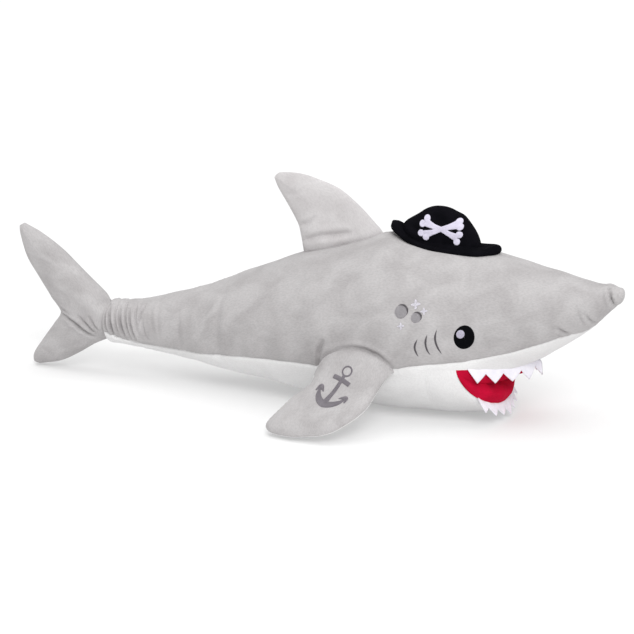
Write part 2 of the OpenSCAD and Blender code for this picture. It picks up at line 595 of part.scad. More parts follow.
right_side_panel();
left_side_panel();
belly_panel();
snout_underside();
palate_lining();
upper_teeth();
torso_filling();
head_filling();
right_eye();
left_eye();
right_eye_highlight();
left_eye_highlight();
right_gill_stitches();
left_gill_stitches();
right_cheek_spots();
left_cheek_spots();
right_cheek_sparkles();
left_cheek_sparkles();
tail_stock_right_cover();
tail_stock_left_cover();
tail_stock_belly_cover();
tail_stock_filling();
tail_fin_right_panel();
tail_fin_left_panel();
tail_fin_filling();
dorsal_fin_right_panel();
dorsal_fin_left_panel();
dorsal_fin_filling();
right_fin_top_panel();
right_fin_underside();
right_fin_filling();
left_fin_top_panel();
left_fin_underside();
left_fin_filling();
anchor_embroidery();
jaw_cover();
jaw_lining();
lower_teeth();
jaw_filling();
hat_front_panel();
hat_back_panel();
hat_brim();
hat_emblem();
hat_filling();
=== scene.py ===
"""Looks of a plush shark lying on its belly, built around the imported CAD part.

Shapes are worked out in millimetres, in the frame of the CAD: nose along +X, back along +Z, floor at 0.
"""
import json

import bpy
import numpy as np
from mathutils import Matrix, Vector
from mathutils.bvhtree import BVHTree


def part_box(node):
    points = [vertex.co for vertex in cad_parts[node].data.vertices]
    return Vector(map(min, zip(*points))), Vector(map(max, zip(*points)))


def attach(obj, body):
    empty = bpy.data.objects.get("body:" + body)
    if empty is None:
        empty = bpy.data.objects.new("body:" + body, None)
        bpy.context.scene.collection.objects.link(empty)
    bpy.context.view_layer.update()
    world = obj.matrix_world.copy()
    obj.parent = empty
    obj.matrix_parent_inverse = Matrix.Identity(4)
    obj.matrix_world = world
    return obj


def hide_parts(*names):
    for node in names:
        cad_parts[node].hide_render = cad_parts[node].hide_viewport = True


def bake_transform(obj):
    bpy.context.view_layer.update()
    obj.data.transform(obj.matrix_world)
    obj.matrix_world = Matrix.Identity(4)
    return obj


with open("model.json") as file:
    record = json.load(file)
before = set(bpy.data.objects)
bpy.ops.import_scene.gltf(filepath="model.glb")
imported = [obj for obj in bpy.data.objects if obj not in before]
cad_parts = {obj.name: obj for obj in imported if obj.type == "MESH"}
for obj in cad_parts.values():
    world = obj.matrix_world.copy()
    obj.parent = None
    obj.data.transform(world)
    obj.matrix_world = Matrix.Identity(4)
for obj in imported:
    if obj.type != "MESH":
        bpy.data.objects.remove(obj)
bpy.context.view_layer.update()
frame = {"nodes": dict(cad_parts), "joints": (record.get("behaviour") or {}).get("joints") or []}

MM = 0.001
FLOOR_CLEARANCE = 0.4


# ---- Small tools ----

def cad_box(node):
    """Lowest and highest corner of a CAD node, in millimetres."""
    low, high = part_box(node)
    return np.array(low) / MM, np.array(high) / MM


def tree_of(objects):
    """One search tree over the meshes of several objects, in millimetres."""
    points, faces = [], []
    for obj in objects:
        first = len(points)
        points += [v.co / MM for v in obj.data.vertices]
        faces += [[first + i for i in p.vertices] for p in obj.data.polygons]
    return BVHTree.FromPolygons(points, faces)


def size_of(v):
    """Length of each vector."""
    return np.linalg.norm(v, axis=-1)


def unit(v):
    return v / np.maximum(size_of(v), 1e-9)[..., None]


def smooth_step(t):
    t = np.clip(t, 0, 1)
    return t * t * (3 - 2 * t)


def blur(a, sigma, axis):
    """Gaussian blur along one axis; the ends continue in a straight line."""
    reach = int(3 * sigma) + 1
    k = np.exp(-0.5 * (np.arange(-reach, reach + 1) / sigma) ** 2)
    k /= k.sum()
    a = np.moveaxis(a, axis, 0)
    n = len(a)
    before = 2 * a[0] - a[np.minimum(np.arange(reach, 0, -1), n - 1)]
    after = 2 * a[-1] - a[np.maximum(n - 2 - np.arange(reach), 0)]
    padded = np.concatenate([before, a, after])
    out = sum(w * padded[i:i + n] for i, w in enumerate(k))
    return np.moveaxis(out, 0, axis)


def resample(path, share):
    """Places on a path at shares of its length."""
    length = np.append(0, np.cumsum(size_of(np.diff(path, axis=0))))
    return np.stack([np.interp(share * length[-1], length, values) for values in path.T], -1)


def curve(points, share):
    """Smooth curve through points, at shares of its length."""
    p = np.array(points, float)
    p = np.vstack([2 * p[0] - p[1], p, 2 * p[-1] - p[-2]])
    fine = []
    for i in range(1, len(p) - 2):
        a, b, c, d = p[i - 1:i + 3]
        s = np.linspace(0, 1, 25)[:, None]
        fine.append(0.5 * (2 * b + (c - a) * s + (2 * a - 5 * b + 4 * c - d) * s ** 2
                           + (3 * b - a - 3 * c + d) * s ** 3))
    return resample(np.vstack(fine), share)


def spread(count, ends=0.55):
    """Numbers from 0 to 1, closer together towards both ends."""
    t = np.linspace(0, 1, count)
    return (1 - ends) * t + ends * (1 - np.cos(np.pi * t)) / 2


def path_distance(points, path):
    """Distance of each point from a path of straight pieces, and how far along it the nearest place is."""
    best = np.full(points.shape[:-1], 1e9)
    along = np.zeros(points.shape[:-1])
    total = size_of(np.diff(path, axis=0))
    done = 0.0
    for a, b, length in zip(path[:-1], path[1:], total):
        t = np.clip(((points - a) @ (b - a)) / max(length ** 2, 1e-9), 0, 1)
        d = size_of(points - (a + t[..., None] * (b - a)))
        nearer = d < best
        best = np.where(nearer, d, best)
        along = np.where(nearer, (done + t * length) / total.sum(), along)
        done += length
    return best, along


def crease(points, path, depth, width, lip=0.35):
    """Offset of a fold along a path: a groove that fades at its ends, with a soft ridge on each side."""
    d, along = path_distance(points, np.array(path, float))
    fade = np.sin(np.pi * np.clip(along, 0.04, 0.96)) ** 0.5
    ridge = lip * np.exp(-((d - 2.4 * width) / (1.3 * width)) ** 2)
    return depth * fade * (ridge - np.exp(-(d / width) ** 2))


def creases(points, folds):
    """Offset of several folds, each given as a path, a depth and a width."""
    return sum(crease(points, *fold) for fold in folds)


def lumps(points, size, seed):
    """Soft random unevenness between about -1 and 1, with bumps about as wide as size."""
    rng = np.random.default_rng(seed)
    total = np.zeros(points.shape[:-1])
    count = 14
    for _ in range(count):
        direction = rng.normal(size=points.shape[-1])
        direction *= rng.uniform(0.6, 1.3) / size_of(direction)
        total += np.cos(points @ direction * np.pi / size + rng.uniform(0, 2 * np.pi))
    return total * np.sqrt(2 / count) / 1.6


def grid_normals(grid, inside):
    """Unit normals of a grid of points, turned away from the point or points inside."""
    normal = np.cross(np.gradient(grid, axis=0), np.gradient(grid, axis=1))
    normal = unit(normal)
    turn = np.sign(np.sum(normal * (grid - inside), axis=-1).mean()) or 1.0
    return normal * turn


def grid_object(name, grid, material, inside=None, closed=False):
    """A quad mesh over a grid of points, with its cloth coordinates in metres in a UV map."""
    n, m = grid.shape[:2]
    index = np.arange(n * m).reshape(n, m)
    if closed:
        index = np.hstack([index, index[:, :1]])
    a, b, c, d = index[:-1, :-1], index[:-1, 1:], index[1:, 1:], index[1:, :-1]
    faces = np.stack([a, b, c, d], -1).reshape(-1, 4)
    flat = grid.reshape(-1, 3)
    corner = flat[faces]
    area = np.cross(corner[:, 2] - corner[:, 0], corner[:, 3] - corner[:, 1])
    centre = flat.mean(0) if inside is None else np.asarray(inside, float)
    if np.sum(area * (corner.mean(1) - centre)) < 0:
        faces = faces[:, ::-1]
    mesh = bpy.data.meshes.new(name)
    mesh.from_pydata(flat * MM, [], faces)
    wide = np.hstack([grid, grid[:, :1]]) if closed else grid
    along = np.cumsum(size_of(np.diff(wide, axis=0, prepend=wide[:1])), axis=0)
    across = np.cumsum(size_of(np.diff(wide, axis=1, prepend=wide[:, :1])), axis=1)
    uv = np.stack([along.mean(1, keepdims=True) + 0 * along, across - across.mean(1, keepdims=True)], -1)
    loops = np.zeros(len(mesh.loops), int)
    mesh.loops.foreach_get("vertex_index", loops)
    column = loops % m
    quads_across = index.shape[1] - 1
    last = np.repeat(np.arange(len(faces)), 4) % quads_across == quads_across - 1
    column = np.where(closed & last & (column == 0), m, column)
    layer = mesh.uv_layers.new(name="cloth")
    layer.data.foreach_set("uv", (uv[loops // m, column] * MM).ravel())
    mesh.shade_smooth()
    obj = bpy.data.objects.new(name, mesh)
    bpy.context.scene.collection.objects.link(obj)
    obj.data.materials.append(material)
    return obj


def mirrored(points):
    return points * np.array([1.0, -1.0, 1.0])


def both_sides(name, grid, material, inside):
    """The same mesh on the right, where the grid is, and on the left."""
    return (grid_object(f"{name}_right", grid, material, inside),
            grid_object(f"{name}_left", mirrored(grid), material, inside))


def place(obj, nodes, body=None, bend=None):
    """Hides the CAD nodes that a piece replaces; with a bend its placement is baked into its mesh, otherwise
    it is hung on the empty of the body it moves with.
    """
    if nodes:
        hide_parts(*nodes)
    if bend:
        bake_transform(obj)
    else:
        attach(obj, body)
    return obj


# ---- Materials ----

class Shader:
    """Builds one node material with a principled shader."""

    def __init__(self, name, **settings):
        self.material = bpy.data.materials.new(name)
        self.material.use_nodes = True
        self.nodes = self.material.node_tree.nodes
        self.links = self.material.node_tree.links
        self.base = self.nodes["Principled BSDF"]
        for socket, value in settings.items():
            self.base.inputs[socket.replace("_", " ")].default_value = value
        self.coordinates = self.nodes.new("ShaderNodeTexCoord").outputs["UV"]

    def node(self, kind, output, links, **values):
        """A new node with its links and values, of which one output is used."""
        node = self.nodes.new("ShaderNode" + kind)
        for socket, value in values.items():
            node.inputs[socket].default_value = value
        for socket, source in links.items():
            self.links.new(source, node.inputs[socket])
        return node.outputs[output]

    def stretched(self, x, y, turn=0.0):
        """Cloth coordinates scaled along and across the cloth."""
        links = {"Vector": self.coordinates}
        return self.node("Mapping", "Vector", links, Scale=(x, y, 1), Rotation=(0, 0, turn))

    def noise(self, vector, scale, detail=2.0, distortion=0.0, roughness=0.5):
        return self.node("TexNoise", "Fac", {"Vector": vector}, Scale=scale, Detail=detail,
                         Distortion=distortion, Roughness=roughness)

    def wave(self, vector, scale, distortion=0.0):
        return self.node("TexWave", "Fac", {"Vector": vector}, Scale=scale, Distortion=distortion)

    def ramp(self, factor, stops):
        """Colours at places from 0 to 1."""
        node = self.nodes.new("ShaderNodeValToRGB")
        while len(node.color_ramp.elements) < len(stops):
            node.color_ramp.elements.new(0.5)
        for element, (position, colour) in zip(node.color_ramp.elements, stops):
            element.position = position
            element.color = (*colour, 1)
        self.links.new(factor, node.inputs["Fac"])
        return node.outputs["Color"]

    def shade(self, factor, low, darkest, high):
        """Multiplier for a colour: darkest up to the place low, and 1 from the place high."""
        return self.ramp(factor, [(low, (darkest,) * 3), (high, (1, 1, 1))])

    def darkened(self, a, b, factor):
        node = self.nodes.new("ShaderNodeMix")
        node.data_type = "RGBA"
        node.blend_type = "MULTIPLY"
        node.inputs["Factor"].default_value = factor
        self.links.new(a, node.inputs["A"])
        self.links.new(b, node.inputs["B"])
        return node.outputs["Result"]

    def bump(self, height, distance, strength=1.0, below=None):
        links = {"Height": height} if below is None else {"Height": height, "Normal": below}
        return self.node("Bump", "Normal", links, Distance=distance, Strength=strength)

    def finished(self, colour, normal):
        """The material with its two outputs joined on."""
        self.links.new(colour, self.base.inputs["Base Color"])
        self.links.new(normal, self.base.inputs["Normal"])
        return self.material


def grey_level(value, warmth=0.0):
    """A light grey, a little warm where warmth is above 0."""
    return (value * (1 + 1.6 * warmth), value, value * (1 + 0.2 * warmth))


def velour(name, light, dark, sheen, specular=0.2, tuft_shade=0.92):
    """Short pile: finger strokes turn the nap in soft patches, over a fine fibre grain."""
    s = Shader(name, Roughness=0.92, Sheen_Weight=sheen, Sheen_Roughness=0.45, Specular_IOR_Level=specular)
    strokes = s.noise(s.stretched(1.0, 1.2, 0.4), 22, detail=3, distortion=0.5)
    patches = s.ramp(strokes, [(0.34, dark), (0.62, light)])
    tufts = s.noise(s.stretched(1, 2.2, 0.3), 230, detail=2, distortion=0.4)
    brushed = s.darkened(patches, s.shade(tufts, 0.35, tuft_shade, 0.6), 0.7)
    fibre = s.noise(s.stretched(1, 1.6), 900, detail=3, roughness=0.7)
    colour = s.darkened(brushed, s.shade(fibre, 0.3, 0.86, 0.65), 0.8)
    return s.finished(colour, s.bump(strokes, 0.002, 0.25, below=s.bump(fibre, 0.0006, 0.45)))


def felt_cloth(name, light, dark):
    """Pressed felt: short fibres in every direction, with a soft cloudiness."""
    s = Shader(name, Roughness=0.95, Sheen_Weight=0.2, Sheen_Roughness=0.6, Specular_IOR_Level=0.15)
    cloud = s.noise(s.stretched(1, 1), 90, detail=4)
    fibre = s.noise(s.stretched(1, 1, 0.8), 1400, detail=4, distortion=1.5, roughness=0.8)
    colour = s.darkened(s.ramp(cloud, [(0.3, dark), (0.7, light)]), s.shade(fibre, 0.3, 0.88, 0.6), 0.7)
    return s.finished(colour, s.bump(fibre, 0.0005, 0.5))


def satin_thread(name, light, dark, per_metre, gloss, sheen=0.15, specular=0.25):
    """Satin stitch: fine parallel threads across the stitched shape."""
    s = Shader(name, Roughness=gloss, Sheen_Weight=sheen, Specular_IOR_Level=specular)
    threads = s.wave(s.stretched(1, 0.15), per_metre, distortion=1.2)
    uneven = s.noise(s.stretched(1, 1), 260, detail=3)
    colour = s.darkened(s.ramp(threads, [(0.0, dark), (0.75, light)]), s.shade(uneven, 0.3, 0.84, 0.7), 0.8)
    return s.finished(colour, s.bump(threads, 0.0005, 0.8))


def twill(name, light, dark):
    """Black cotton twill: fine diagonal ribs, rubbed a little lighter in places."""
    s = Shader(name, Roughness=0.9, Specular_IOR_Level=0.04)
    ribs = s.wave(s.stretched(1, 1, 0.785), 420, distortion=0.6)
    rubbed = s.noise(s.stretched(1, 1), 45, detail=4)
    colour = s.darkened(s.ramp(rubbed, [(0.35, dark), (0.75, light)]), s.shade(ribs, 0.0, 0.72, 0.8), 0.8)
    return s.finished(colour, s.bump(ribs, 0.0004, 0.7))


GREY = velour("grey_velour", grey_level(0.48, 0.020), grey_level(0.405, 0.026), 0.2, tuft_shade=0.84)
# A lighter copy of the grey velour for the dorsal fin: painted light, standing in for the extra light that
# the high fin catches from above
GREY_PAINTED_LIGHTER = velour("grey_velour_painted_lighter", grey_level(0.60, 0.020), grey_level(0.53, 0.026), 0.22,
                     tuft_shade=0.88)
WHITE = velour("white_velour", grey_level(0.80, 0.004), grey_level(0.76, 0.006), 0.12)
RED = velour("red_lining", (0.57, 0.006, 0.040), (0.46, 0.004, 0.030), 0.0, specular=0.04)
FELT = felt_cloth("white_felt", (0.86, 0.84, 0.9), (0.78, 0.76, 0.83))
EYE_BLACK = satin_thread("black_satin", (0.004, 0.004, 0.006), (0.001, 0.001, 0.002), 700, 0.7, sheen=0.0,
                         specular=0.05)
LILAC = satin_thread("lilac_thread", (0.72, 0.68, 0.82), (0.52, 0.49, 0.62), 700, 0.55)
THREAD = satin_thread("grey_thread", (0.15, 0.14, 0.15), (0.09, 0.08, 0.09), 700, 0.6)
ANCHOR_THREAD = satin_thread("anchor_thread", (0.27, 0.245, 0.275), (0.17, 0.155, 0.175), 700, 0.6)
SPOT_THREAD = satin_thread("spot_thread", (0.46, 0.44, 0.46), (0.34, 0.32, 0.34), 700, 0.6)
SPARKLE = satin_thread("sparkle_thread", (0.95, 0.92, 1.0), (0.78, 0.76, 0.85), 700, 0.5)
EMBLEM = felt_cloth("emblem_felt", (0.68, 0.65, 0.78), (0.58, 0.55, 0.67))
BLACK = twill("black_cloth", (0.0065, 0.006, 0.009), (0.003, 0.003, 0.0045))


# ---- The body's skin, taken from the CAD covers ----

ANGLE_STEP = 3.0
STATION_STEP = 4.0
OFF_SEAM = -1.5
NOSE_ROUND = 9.0
NOSE_RISE = 5.5
# Height of the seam between the grey and the white cloth, along X
SEAM = [(-345, 79), (-322, 73), (-301, 67), (-266, 61), (-230, 60), (-193, 62), (-141, 67), (-97, 71),
        (-29, 77), (62, 81), (126, 86), (191, 95), (207, 100), (236, 104), (269, 107), (296, 111), (322, 115),
        (343, 119), (377, 129), (401, 136), (415, 142), (430, 146), (449, 149)]
SEAM_END = 472.0
SKIN_NODES = ("right_side_panel", "tail_stock_right_cover", "belly_panel", "snout_underside",
              "tail_stock_belly_cover")
# How much the back is pulled up by the seam of the dorsal fin, along X
BACK_RISE = [(-60, 0), (-10, 3), (60, 5), (105, 9), (135, 14), (150, 12), (175, 4), (205, 0)]


class Skin:
    """The outside of the body: its radius by place along X and angle from the back down one side."""

    def __init__(self):
        tree = tree_of([frame["nodes"][name] for name in SKIN_NODES])
        rear = cad_box("tail_stock_right_cover")[0][0]
        self.nose = cad_box("right_side_panel")[1][0]
        joint_gap = (cad_box("torso_filling")[0][0] - 26, cad_box("right_side_panel")[0][0] + 2)
        mouth = (cad_box("palate_lining")[0][0] - 4, cad_box("palate_lining")[1][0] + 28)
        x = np.arange(rear + 2, self.nose - 1, STATION_STEP)
        x = np.append(x[(x < joint_gap[0]) | (x > joint_gap[1])], self.nose - 0.5)
        top = np.array([self.hit(tree, (v, OFF_SEAM, 600.0), (0, 0, -1))[2] for v in x])
        low = np.array([self.hit(tree, (v, OFF_SEAM, -100.0), (0, 0, 1))[2] for v in x])
        closed = (x < mouth[0]) | (x > mouth[1])
        middle = blur(np.interp(x, x[closed], ((top + low) / 2)[closed]), 4, 0)
        angles = np.arange(0, 180 + ANGLE_STEP, ANGLE_STEP)
        radius = np.array([self.radii(tree, v, m, angles) for v, m in zip(x, middle)])
        even = np.append(np.arange(rear + 2, self.nose - 3, STATION_STEP), self.nose)
        radius = np.stack([np.interp(even, x, radius[:, j]) for j in range(len(angles))], 1)
        radius = np.sqrt(np.maximum(blur(blur(radius ** 2, 2.2, 0), 1.6, 1), 9.0))
        ridge = np.interp(even, *zip(*BACK_RISE))[:, None] * smooth_step(1 - angles / 55)[None, :]
        self.x, self.r = even, radius + blur(ridge, 2.0, 0)
        self.middle_z = np.interp(even, x, middle) + NOSE_RISE * smooth_step((even - self.nose + 45) / 35)
        self.seam_x = np.array(SEAM, float)[:, 0]
        self.seam_angle = np.array([self.angle_at(*at) for at in SEAM])

    @staticmethod
    def hit(tree, origin, direction, reach=800.0):
        found = tree.ray_cast(Vector(origin), Vector(direction), reach)[0]
        return (np.nan,) * 3 if found is None else tuple(found)

    def radii(self, tree, x, middle, angles, far=300.0):
        out = []
        for a in np.radians(np.clip(angles, 1, 179)):
            way = np.array([0, -np.sin(a), np.cos(a)])
            p = self.hit(tree, way * far + (x, 0, middle), -way, far - 2)
            out.append(size_of(np.array(p) - (x, 0, middle)))
        out = np.array(out)
        seen = ~np.isnan(out)
        return np.interp(angles, angles[seen], out[seen])

    def middle(self, x):
        return np.interp(x, self.x, self.middle_z)

    def axis(self, x):
        return np.stack([x, 0 * x, self.middle(x)], -1)

    def seam(self, x):
        """Angle of the seam; the white ends in a point under the nose."""
        last = self.seam_x[-1]
        angle = np.interp(x, self.seam_x, self.seam_angle)
        return np.minimum(angle + (180 - angle) * smooth_step((x - last) / (SEAM_END - last)), 180)

    def point(self, x, angle):
        """Points on the right side; x and angle in degrees may be arrays."""
        x, angle = np.broadcast_arrays(np.asarray(x, float), np.asarray(angle, float))
        held = np.minimum(x, self.nose - NOSE_ROUND)
        i = np.clip(np.searchsorted(self.x, held) - 1, 0, len(self.x) - 2)
        s = np.clip((held - self.x[i]) / (self.x[i + 1] - self.x[i]), 0, 1)
        turn = np.clip(angle / ANGLE_STEP, 0, self.r.shape[1] - 1.001)
        j = turn.astype(int)
        t = turn - j
        r = ((1 - s) * ((1 - t) * self.r[i, j] + t * self.r[i, j + 1])
             + s * ((1 - t) * self.r[i + 1, j] + t * self.r[i + 1, j + 1]))
        tip = np.clip((x - self.nose + NOSE_ROUND) / NOSE_ROUND, 0, 1)
        r = r * np.sqrt(np.maximum(1 - tip ** 2, 0))
        a = np.radians(angle)
        return np.stack([x, -r * np.sin(a), self.middle(x) + r * np.cos(a)], -1)

    def angle_at(self, x, z):
        """Angle at which the section at x passes height z, on the way down the side."""
        angles = np.arange(20, 180, 0.5)
        heights = self.point(x, angles)[:, 2]
        return float(np.interp(-z, -heights, angles))


skin = Skin()


# ---- Measures taken from the frame ----

LIFT_X, SWING_X = (frame_joint["pos_m"][0] / MM for frame_joint in frame["joints"][:2])
FIN_SEAM_X = SWING_X + 6
THROAT_X = 230.0
PALATE_FRONT = cad_box("palate_lining")[1][0] + 6
JAW_FRONT = cad_box("jaw_cover")[1][0] - 5
MOUTH_CORNER_X = cad_box("palate_lining")[0][0] - 9
DORSAL_LOW, DORSAL_HIGH = cad_box("dorsal_fin_right_panel")


# ---- Folds of the body's skin ----

def ring_path(x, first, last, slant):
    """A path round the side of the body, from one angle to another, leaning along X."""
    angles = np.linspace(first, last, 7)
    return skin.point(x + slant * np.linspace(-0.5, 0.5, 7), angles)


# Gathers in front of the tail fin: X, first and last angle, lean along X, depth, width
GATHERS = [(-335, 14, 112, 5, 5.0, 2.4), (-326, 30, 122, 13, 5.5, 2.2), (-317, 18, 100, 9, 3.4, 1.9),
           (-307, 34, 122, 15, 5.0, 2.4), (-297, 20, 116, 15, 3.8, 2.0), (-288, 44, 122, 14, 4.2, 2.2),
           (-279, 30, 104, 10, 2.6, 2.0), (-270, 34, 84, -8, 3.0, 2.0), (-263, 70, 118, 9, 2.0, 2.4),
           (-247, 50, 112, 10, 1.0, 4.0),
           (-236, 34, 116, 8, 1.2, 3.2), (-196, 60, 122, 4, 1.5, 4.5), (-122, 34, 124, -3, 2.0, 7.0)]
# Puckers round the nose, given in the same way
NOSE_PUCKERS = [(483, 38, 138, 9, 9.0, 2.6), (455, 98, 150, 14, 3.0, 2.6), (441, 78, 125, 8, 2.0, 3.4),
                (419, 104, 126, 14, 3.4, 2.6)]
FOLD_DEPTH, FOLD_WIDTH = 1.3, 0.85
# Root of a pectoral fin on the right flank, from behind over the top to the front
ROOT_ARC = [(58, -113, 76), (66, -119, 93), (78, -125, 106), (97, -128, 116), (120, -130, 121),
            (140, -131, 120), (161, -130, 114), (178, -127, 102), (187, -124, 92)]
# Folds on a flank: path, depth, width
FLANK_FOLDS = [
    (ROOT_ARC, 5.0, 2.8),
    ([(60, -109, 79), (61, -116, 95), (64, -119, 110), (69, -120, 124)], 7.0, 3.2),
    ([(44, -110, 84), (42, -116, 104), (48, -117, 126)], 1.6, 8.0),
    ([(12, -101, 92), (16, -107, 116), (28, -108, 140)], 1.2, 10.0),
    ([(300, -99, 129), (330, -86, 138), (352, -76, 146)], 0.8, 7.0)]


def flank_offset(points, x, seed):
    """Folds and stuffing of one side; points are given as if on the right."""
    offset = 1.3 * lumps(points, 62, seed) + 0.5 * lumps(points, 24, seed + 1)
    for place_x, first, last, slant, depth, width in GATHERS + NOSE_PUCKERS:
        path = ring_path(place_x, first, last, slant)
        offset += crease(points, path, FOLD_DEPTH * depth, FOLD_WIDTH * width)
    offset += creases(points, FLANK_FOLDS)
    near_tail = smooth_step((-225 - x) / 60)
    return offset + near_tail * 0.5 * lumps(points * (3.2, 1, 1), 22, seed + 2)


def seam_dip(distance, depth, width):
    """The cloth turns in at a seam."""
    return -depth * np.exp(-np.maximum(distance, 0) / width)


def pucker(along, distance, depth, pitch, reach, seed):
    """Small pulls of the stitches, which fade away from the seam."""
    rng = np.random.default_rng(seed)
    beat = along * 2 * np.pi / pitch + 1.4 * np.sin(along / 31 + rng.uniform(0, 6))
    return depth * np.sin(beat) * np.exp(-(distance / reach)) * (0.6 + 0.4 * np.sin(along / 47 + seed))


GATHERED_TO = -255.0
BODY_SEED = 5


def body_rows():
    gathered = np.arange(FIN_SEAM_X - 3, GATHERED_TO, 1.2)
    main = np.concatenate([gathered, np.arange(GATHERED_TO, skin.nose - NOSE_ROUND, 2.5)])
    tip = skin.nose - NOSE_ROUND * (1 - np.sin(np.linspace(0.05, 1, 12) * np.pi / 2))
    return np.concatenate([main, tip])


def off_floor(points, share=1.0):
    """The belly is round: away from its middle line it curves up off the floor."""
    forward = smooth_step((points[..., 0] - 20) / 110)
    low = 1 - smooth_step(points[..., 2] / 70)
    lift = 8.5 * forward * low * np.minimum(np.abs(points[..., 1]) / 48, 1.3) ** 1.4
    out = points.copy()
    out[..., 2] = np.maximum(out[..., 2] + lift * share, FLOOR_CLEARANCE)
    return out


def with_rear_end(points):
    """Gathers the rear edge in to the middle, behind the seam of the tail fin."""
    centre = np.array([FIN_SEAM_X - 4, 0, skin.middle(FIN_SEAM_X)])
    rows = [centre + (points[0] - centre) * share for share in (0.03, 0.3, 0.6, 0.85)]
    return np.concatenate([np.array(rows), points])


def body_panel(rows, first, last, columns, seed, side_seams=(True, True)):
    """Grid of displaced skin between two angles, which are functions of X."""
    x = np.repeat(rows[:, None], len(columns), 1)
    low, high = first(rows)[:, None], last(rows)[:, None]
    angle = low + (high - low) * columns[None, :]
    points = skin.point(x, np.minimum(angle, 180))
    points = np.where((angle > 180)[..., None], mirrored(skin.point(x, 360 - np.maximum(angle, 180))), points)
    from_axis = points - skin.axis(x)
    like_right = np.where((angle > 180)[..., None], mirrored(points), points)
    offset = flank_offset(like_right, x, seed)
    arc = size_of(from_axis) * np.pi / 180
    for on, distance in zip(side_seams, ((angle - low) * arc, (high - angle) * arc)):
        if on:
            offset += seam_dip(distance, 2.6, 2.2) + pucker(x, distance, 0.45, 9, 7, seed)
    offset += seam_dip(x - FIN_SEAM_X + 3, 9, 3.2)
    offset *= smooth_step((skin.nose + 2 - x) / 30)
    points = off_floor(points + unit(from_axis) * offset[..., None])
    return with_rear_end(points) if rows[0] < FIN_SEAM_X else points


LIFT_BEND = ("trunk", "tail_stock", (LIFT_X + 62, 0, 100), (LIFT_X - 62, 0, 100))


def build_back():
    """The two grey panels, which meet along the middle of the back."""
    grid = body_panel(body_rows(), lambda x: 0 * x, skin.seam, spread(112), BODY_SEED)
    right, left = both_sides("back", grid, GREY, (0, 0, 130))
    fillings = ["torso_filling", "head_filling", "tail_stock_filling"]
    place(right, ["right_side_panel", "tail_stock_right_cover"] + fillings,
          bend=LIFT_BEND)
    place(left, ["left_side_panel", "tail_stock_left_cover"], bend=LIFT_BEND)
    return {"right": right, "left": left}


# ---- The white underside ----

# Height of the mouth's upper rim along X; it is level behind the corner
RIM = [(MOUTH_CORNER_X, 96), (290, 96.5), (311, 93), (326, 90.5), (343, 89), (353, 90.5), (364, 92),
       (378, 92)]


def rim_height(x):
    return np.interp(x, *zip(*RIM))


def lip_angle(x):
    """Lower edge of the white cloth beside the mouth, down to its rim."""
    angles = np.array([skin.angle_at(*at) for at in zip(x, rim_height(x))])
    return np.where(x > PALATE_FRONT, 180, np.maximum(angles, skin.seam(x) + 0.5))


def white_skin(x, angle, share=1.0):
    """The finished white surface on the right side; share says how far it is lifted off the floor."""
    points = skin.point(x, angle)
    normal = unit(points - skin.axis(x))
    return off_floor(points + normal * flank_offset(points, x, BODY_SEED)[..., None], share)


corner_x = np.array([MOUTH_CORNER_X])
CORNER = white_skin(corner_x, lip_angle(corner_x))[0]


def build_belly():
    rows = body_rows()
    rows = np.append(rows[rows < THROAT_X - 1], THROAT_X)
    grid = body_panel(rows, skin.seam, lambda x: 360 - skin.seam(x), spread(130), BODY_SEED)
    obj = grid_object("belly", grid, WHITE, inside=(0, 0, 130))
    place(obj, ["belly_panel", "tail_stock_belly_cover"], bend=LIFT_BEND)


def build_lips():
    """White strips under the snout, from the throat to the nose, open between them at the mouth."""
    rows = np.arange(THROAT_X, skin.nose - 28, 2.5)
    grid = body_panel(rows, skin.seam, lip_angle, spread(46), BODY_SEED, side_seams=(True, False))
    right, left = both_sides("lip", grid, WHITE, (340, 0, 170))
    place(right, ["snout_underside"], body="trunk")
    place(left, [], body="trunk")


# ---- The mouth ----

def across_mouth(s):
    """Share of the width, and of the depth, at a place from -1 at the right corner to 1 at the left."""
    turn = np.pi * (s + 1) / 2
    return np.cos(turn), np.abs(np.sin(turn))


def upper_rim(s):
    """Edge of the white lip, on the body's skin."""
    y_share, _ = across_mouth(s)
    x = np.arange(MOUTH_CORNER_X, PALATE_FRONT + 1, 1.0)
    y = np.abs(white_skin(x, lip_angle(x))[:, 1])
    y[-1] = 0
    want = np.abs(y_share) * y[0]
    at = np.interp(-want, -y, x)
    return np.stack([at, -np.sign(y_share) * want, rim_height(at)], -1)


def in_mouth(s, run, narrowing, drop, curve_x, curve_z):
    """A line round the mouth between its corners, which runs forward and drops as it does."""
    y_share, deep = across_mouth(s)
    return np.stack([CORNER[0] + run * deep ** curve_x, CORNER[1] * y_share * (1 - narrowing * deep),
                     CORNER[2] - drop * deep ** curve_z], -1)


LIP_DROP, CREASE_DROP, CREASE_BEHIND_LIP = 70, 36, 6


def lower_rim(s):
    """Edge of the lower lip."""
    return in_mouth(s, JAW_FRONT - CORNER[0], 0.05, LIP_DROP, 1.1, 0.74)


def inner_crease(s):
    """Where the roof of the mouth meets the inside of the lower lip."""
    return in_mouth(s, JAW_FRONT - CORNER[0] - CREASE_BEHIND_LIP, 0.09, CREASE_DROP, 1, 0.76)


JAW_BEND = ("trunk", "lower_jaw", (THROAT_X + 25, 0, 30), (CORNER[0] + 24, 0, 30))


def hermite(a, slope_a, b, slope_b, t):
    return ((2 * t ** 3 - 3 * t ** 2 + 1) * a + (t ** 3 - 2 * t ** 2 + t) * slope_a
            + (3 * t ** 2 - 2 * t ** 3) * b + (t ** 3 - t ** 2) * slope_b)


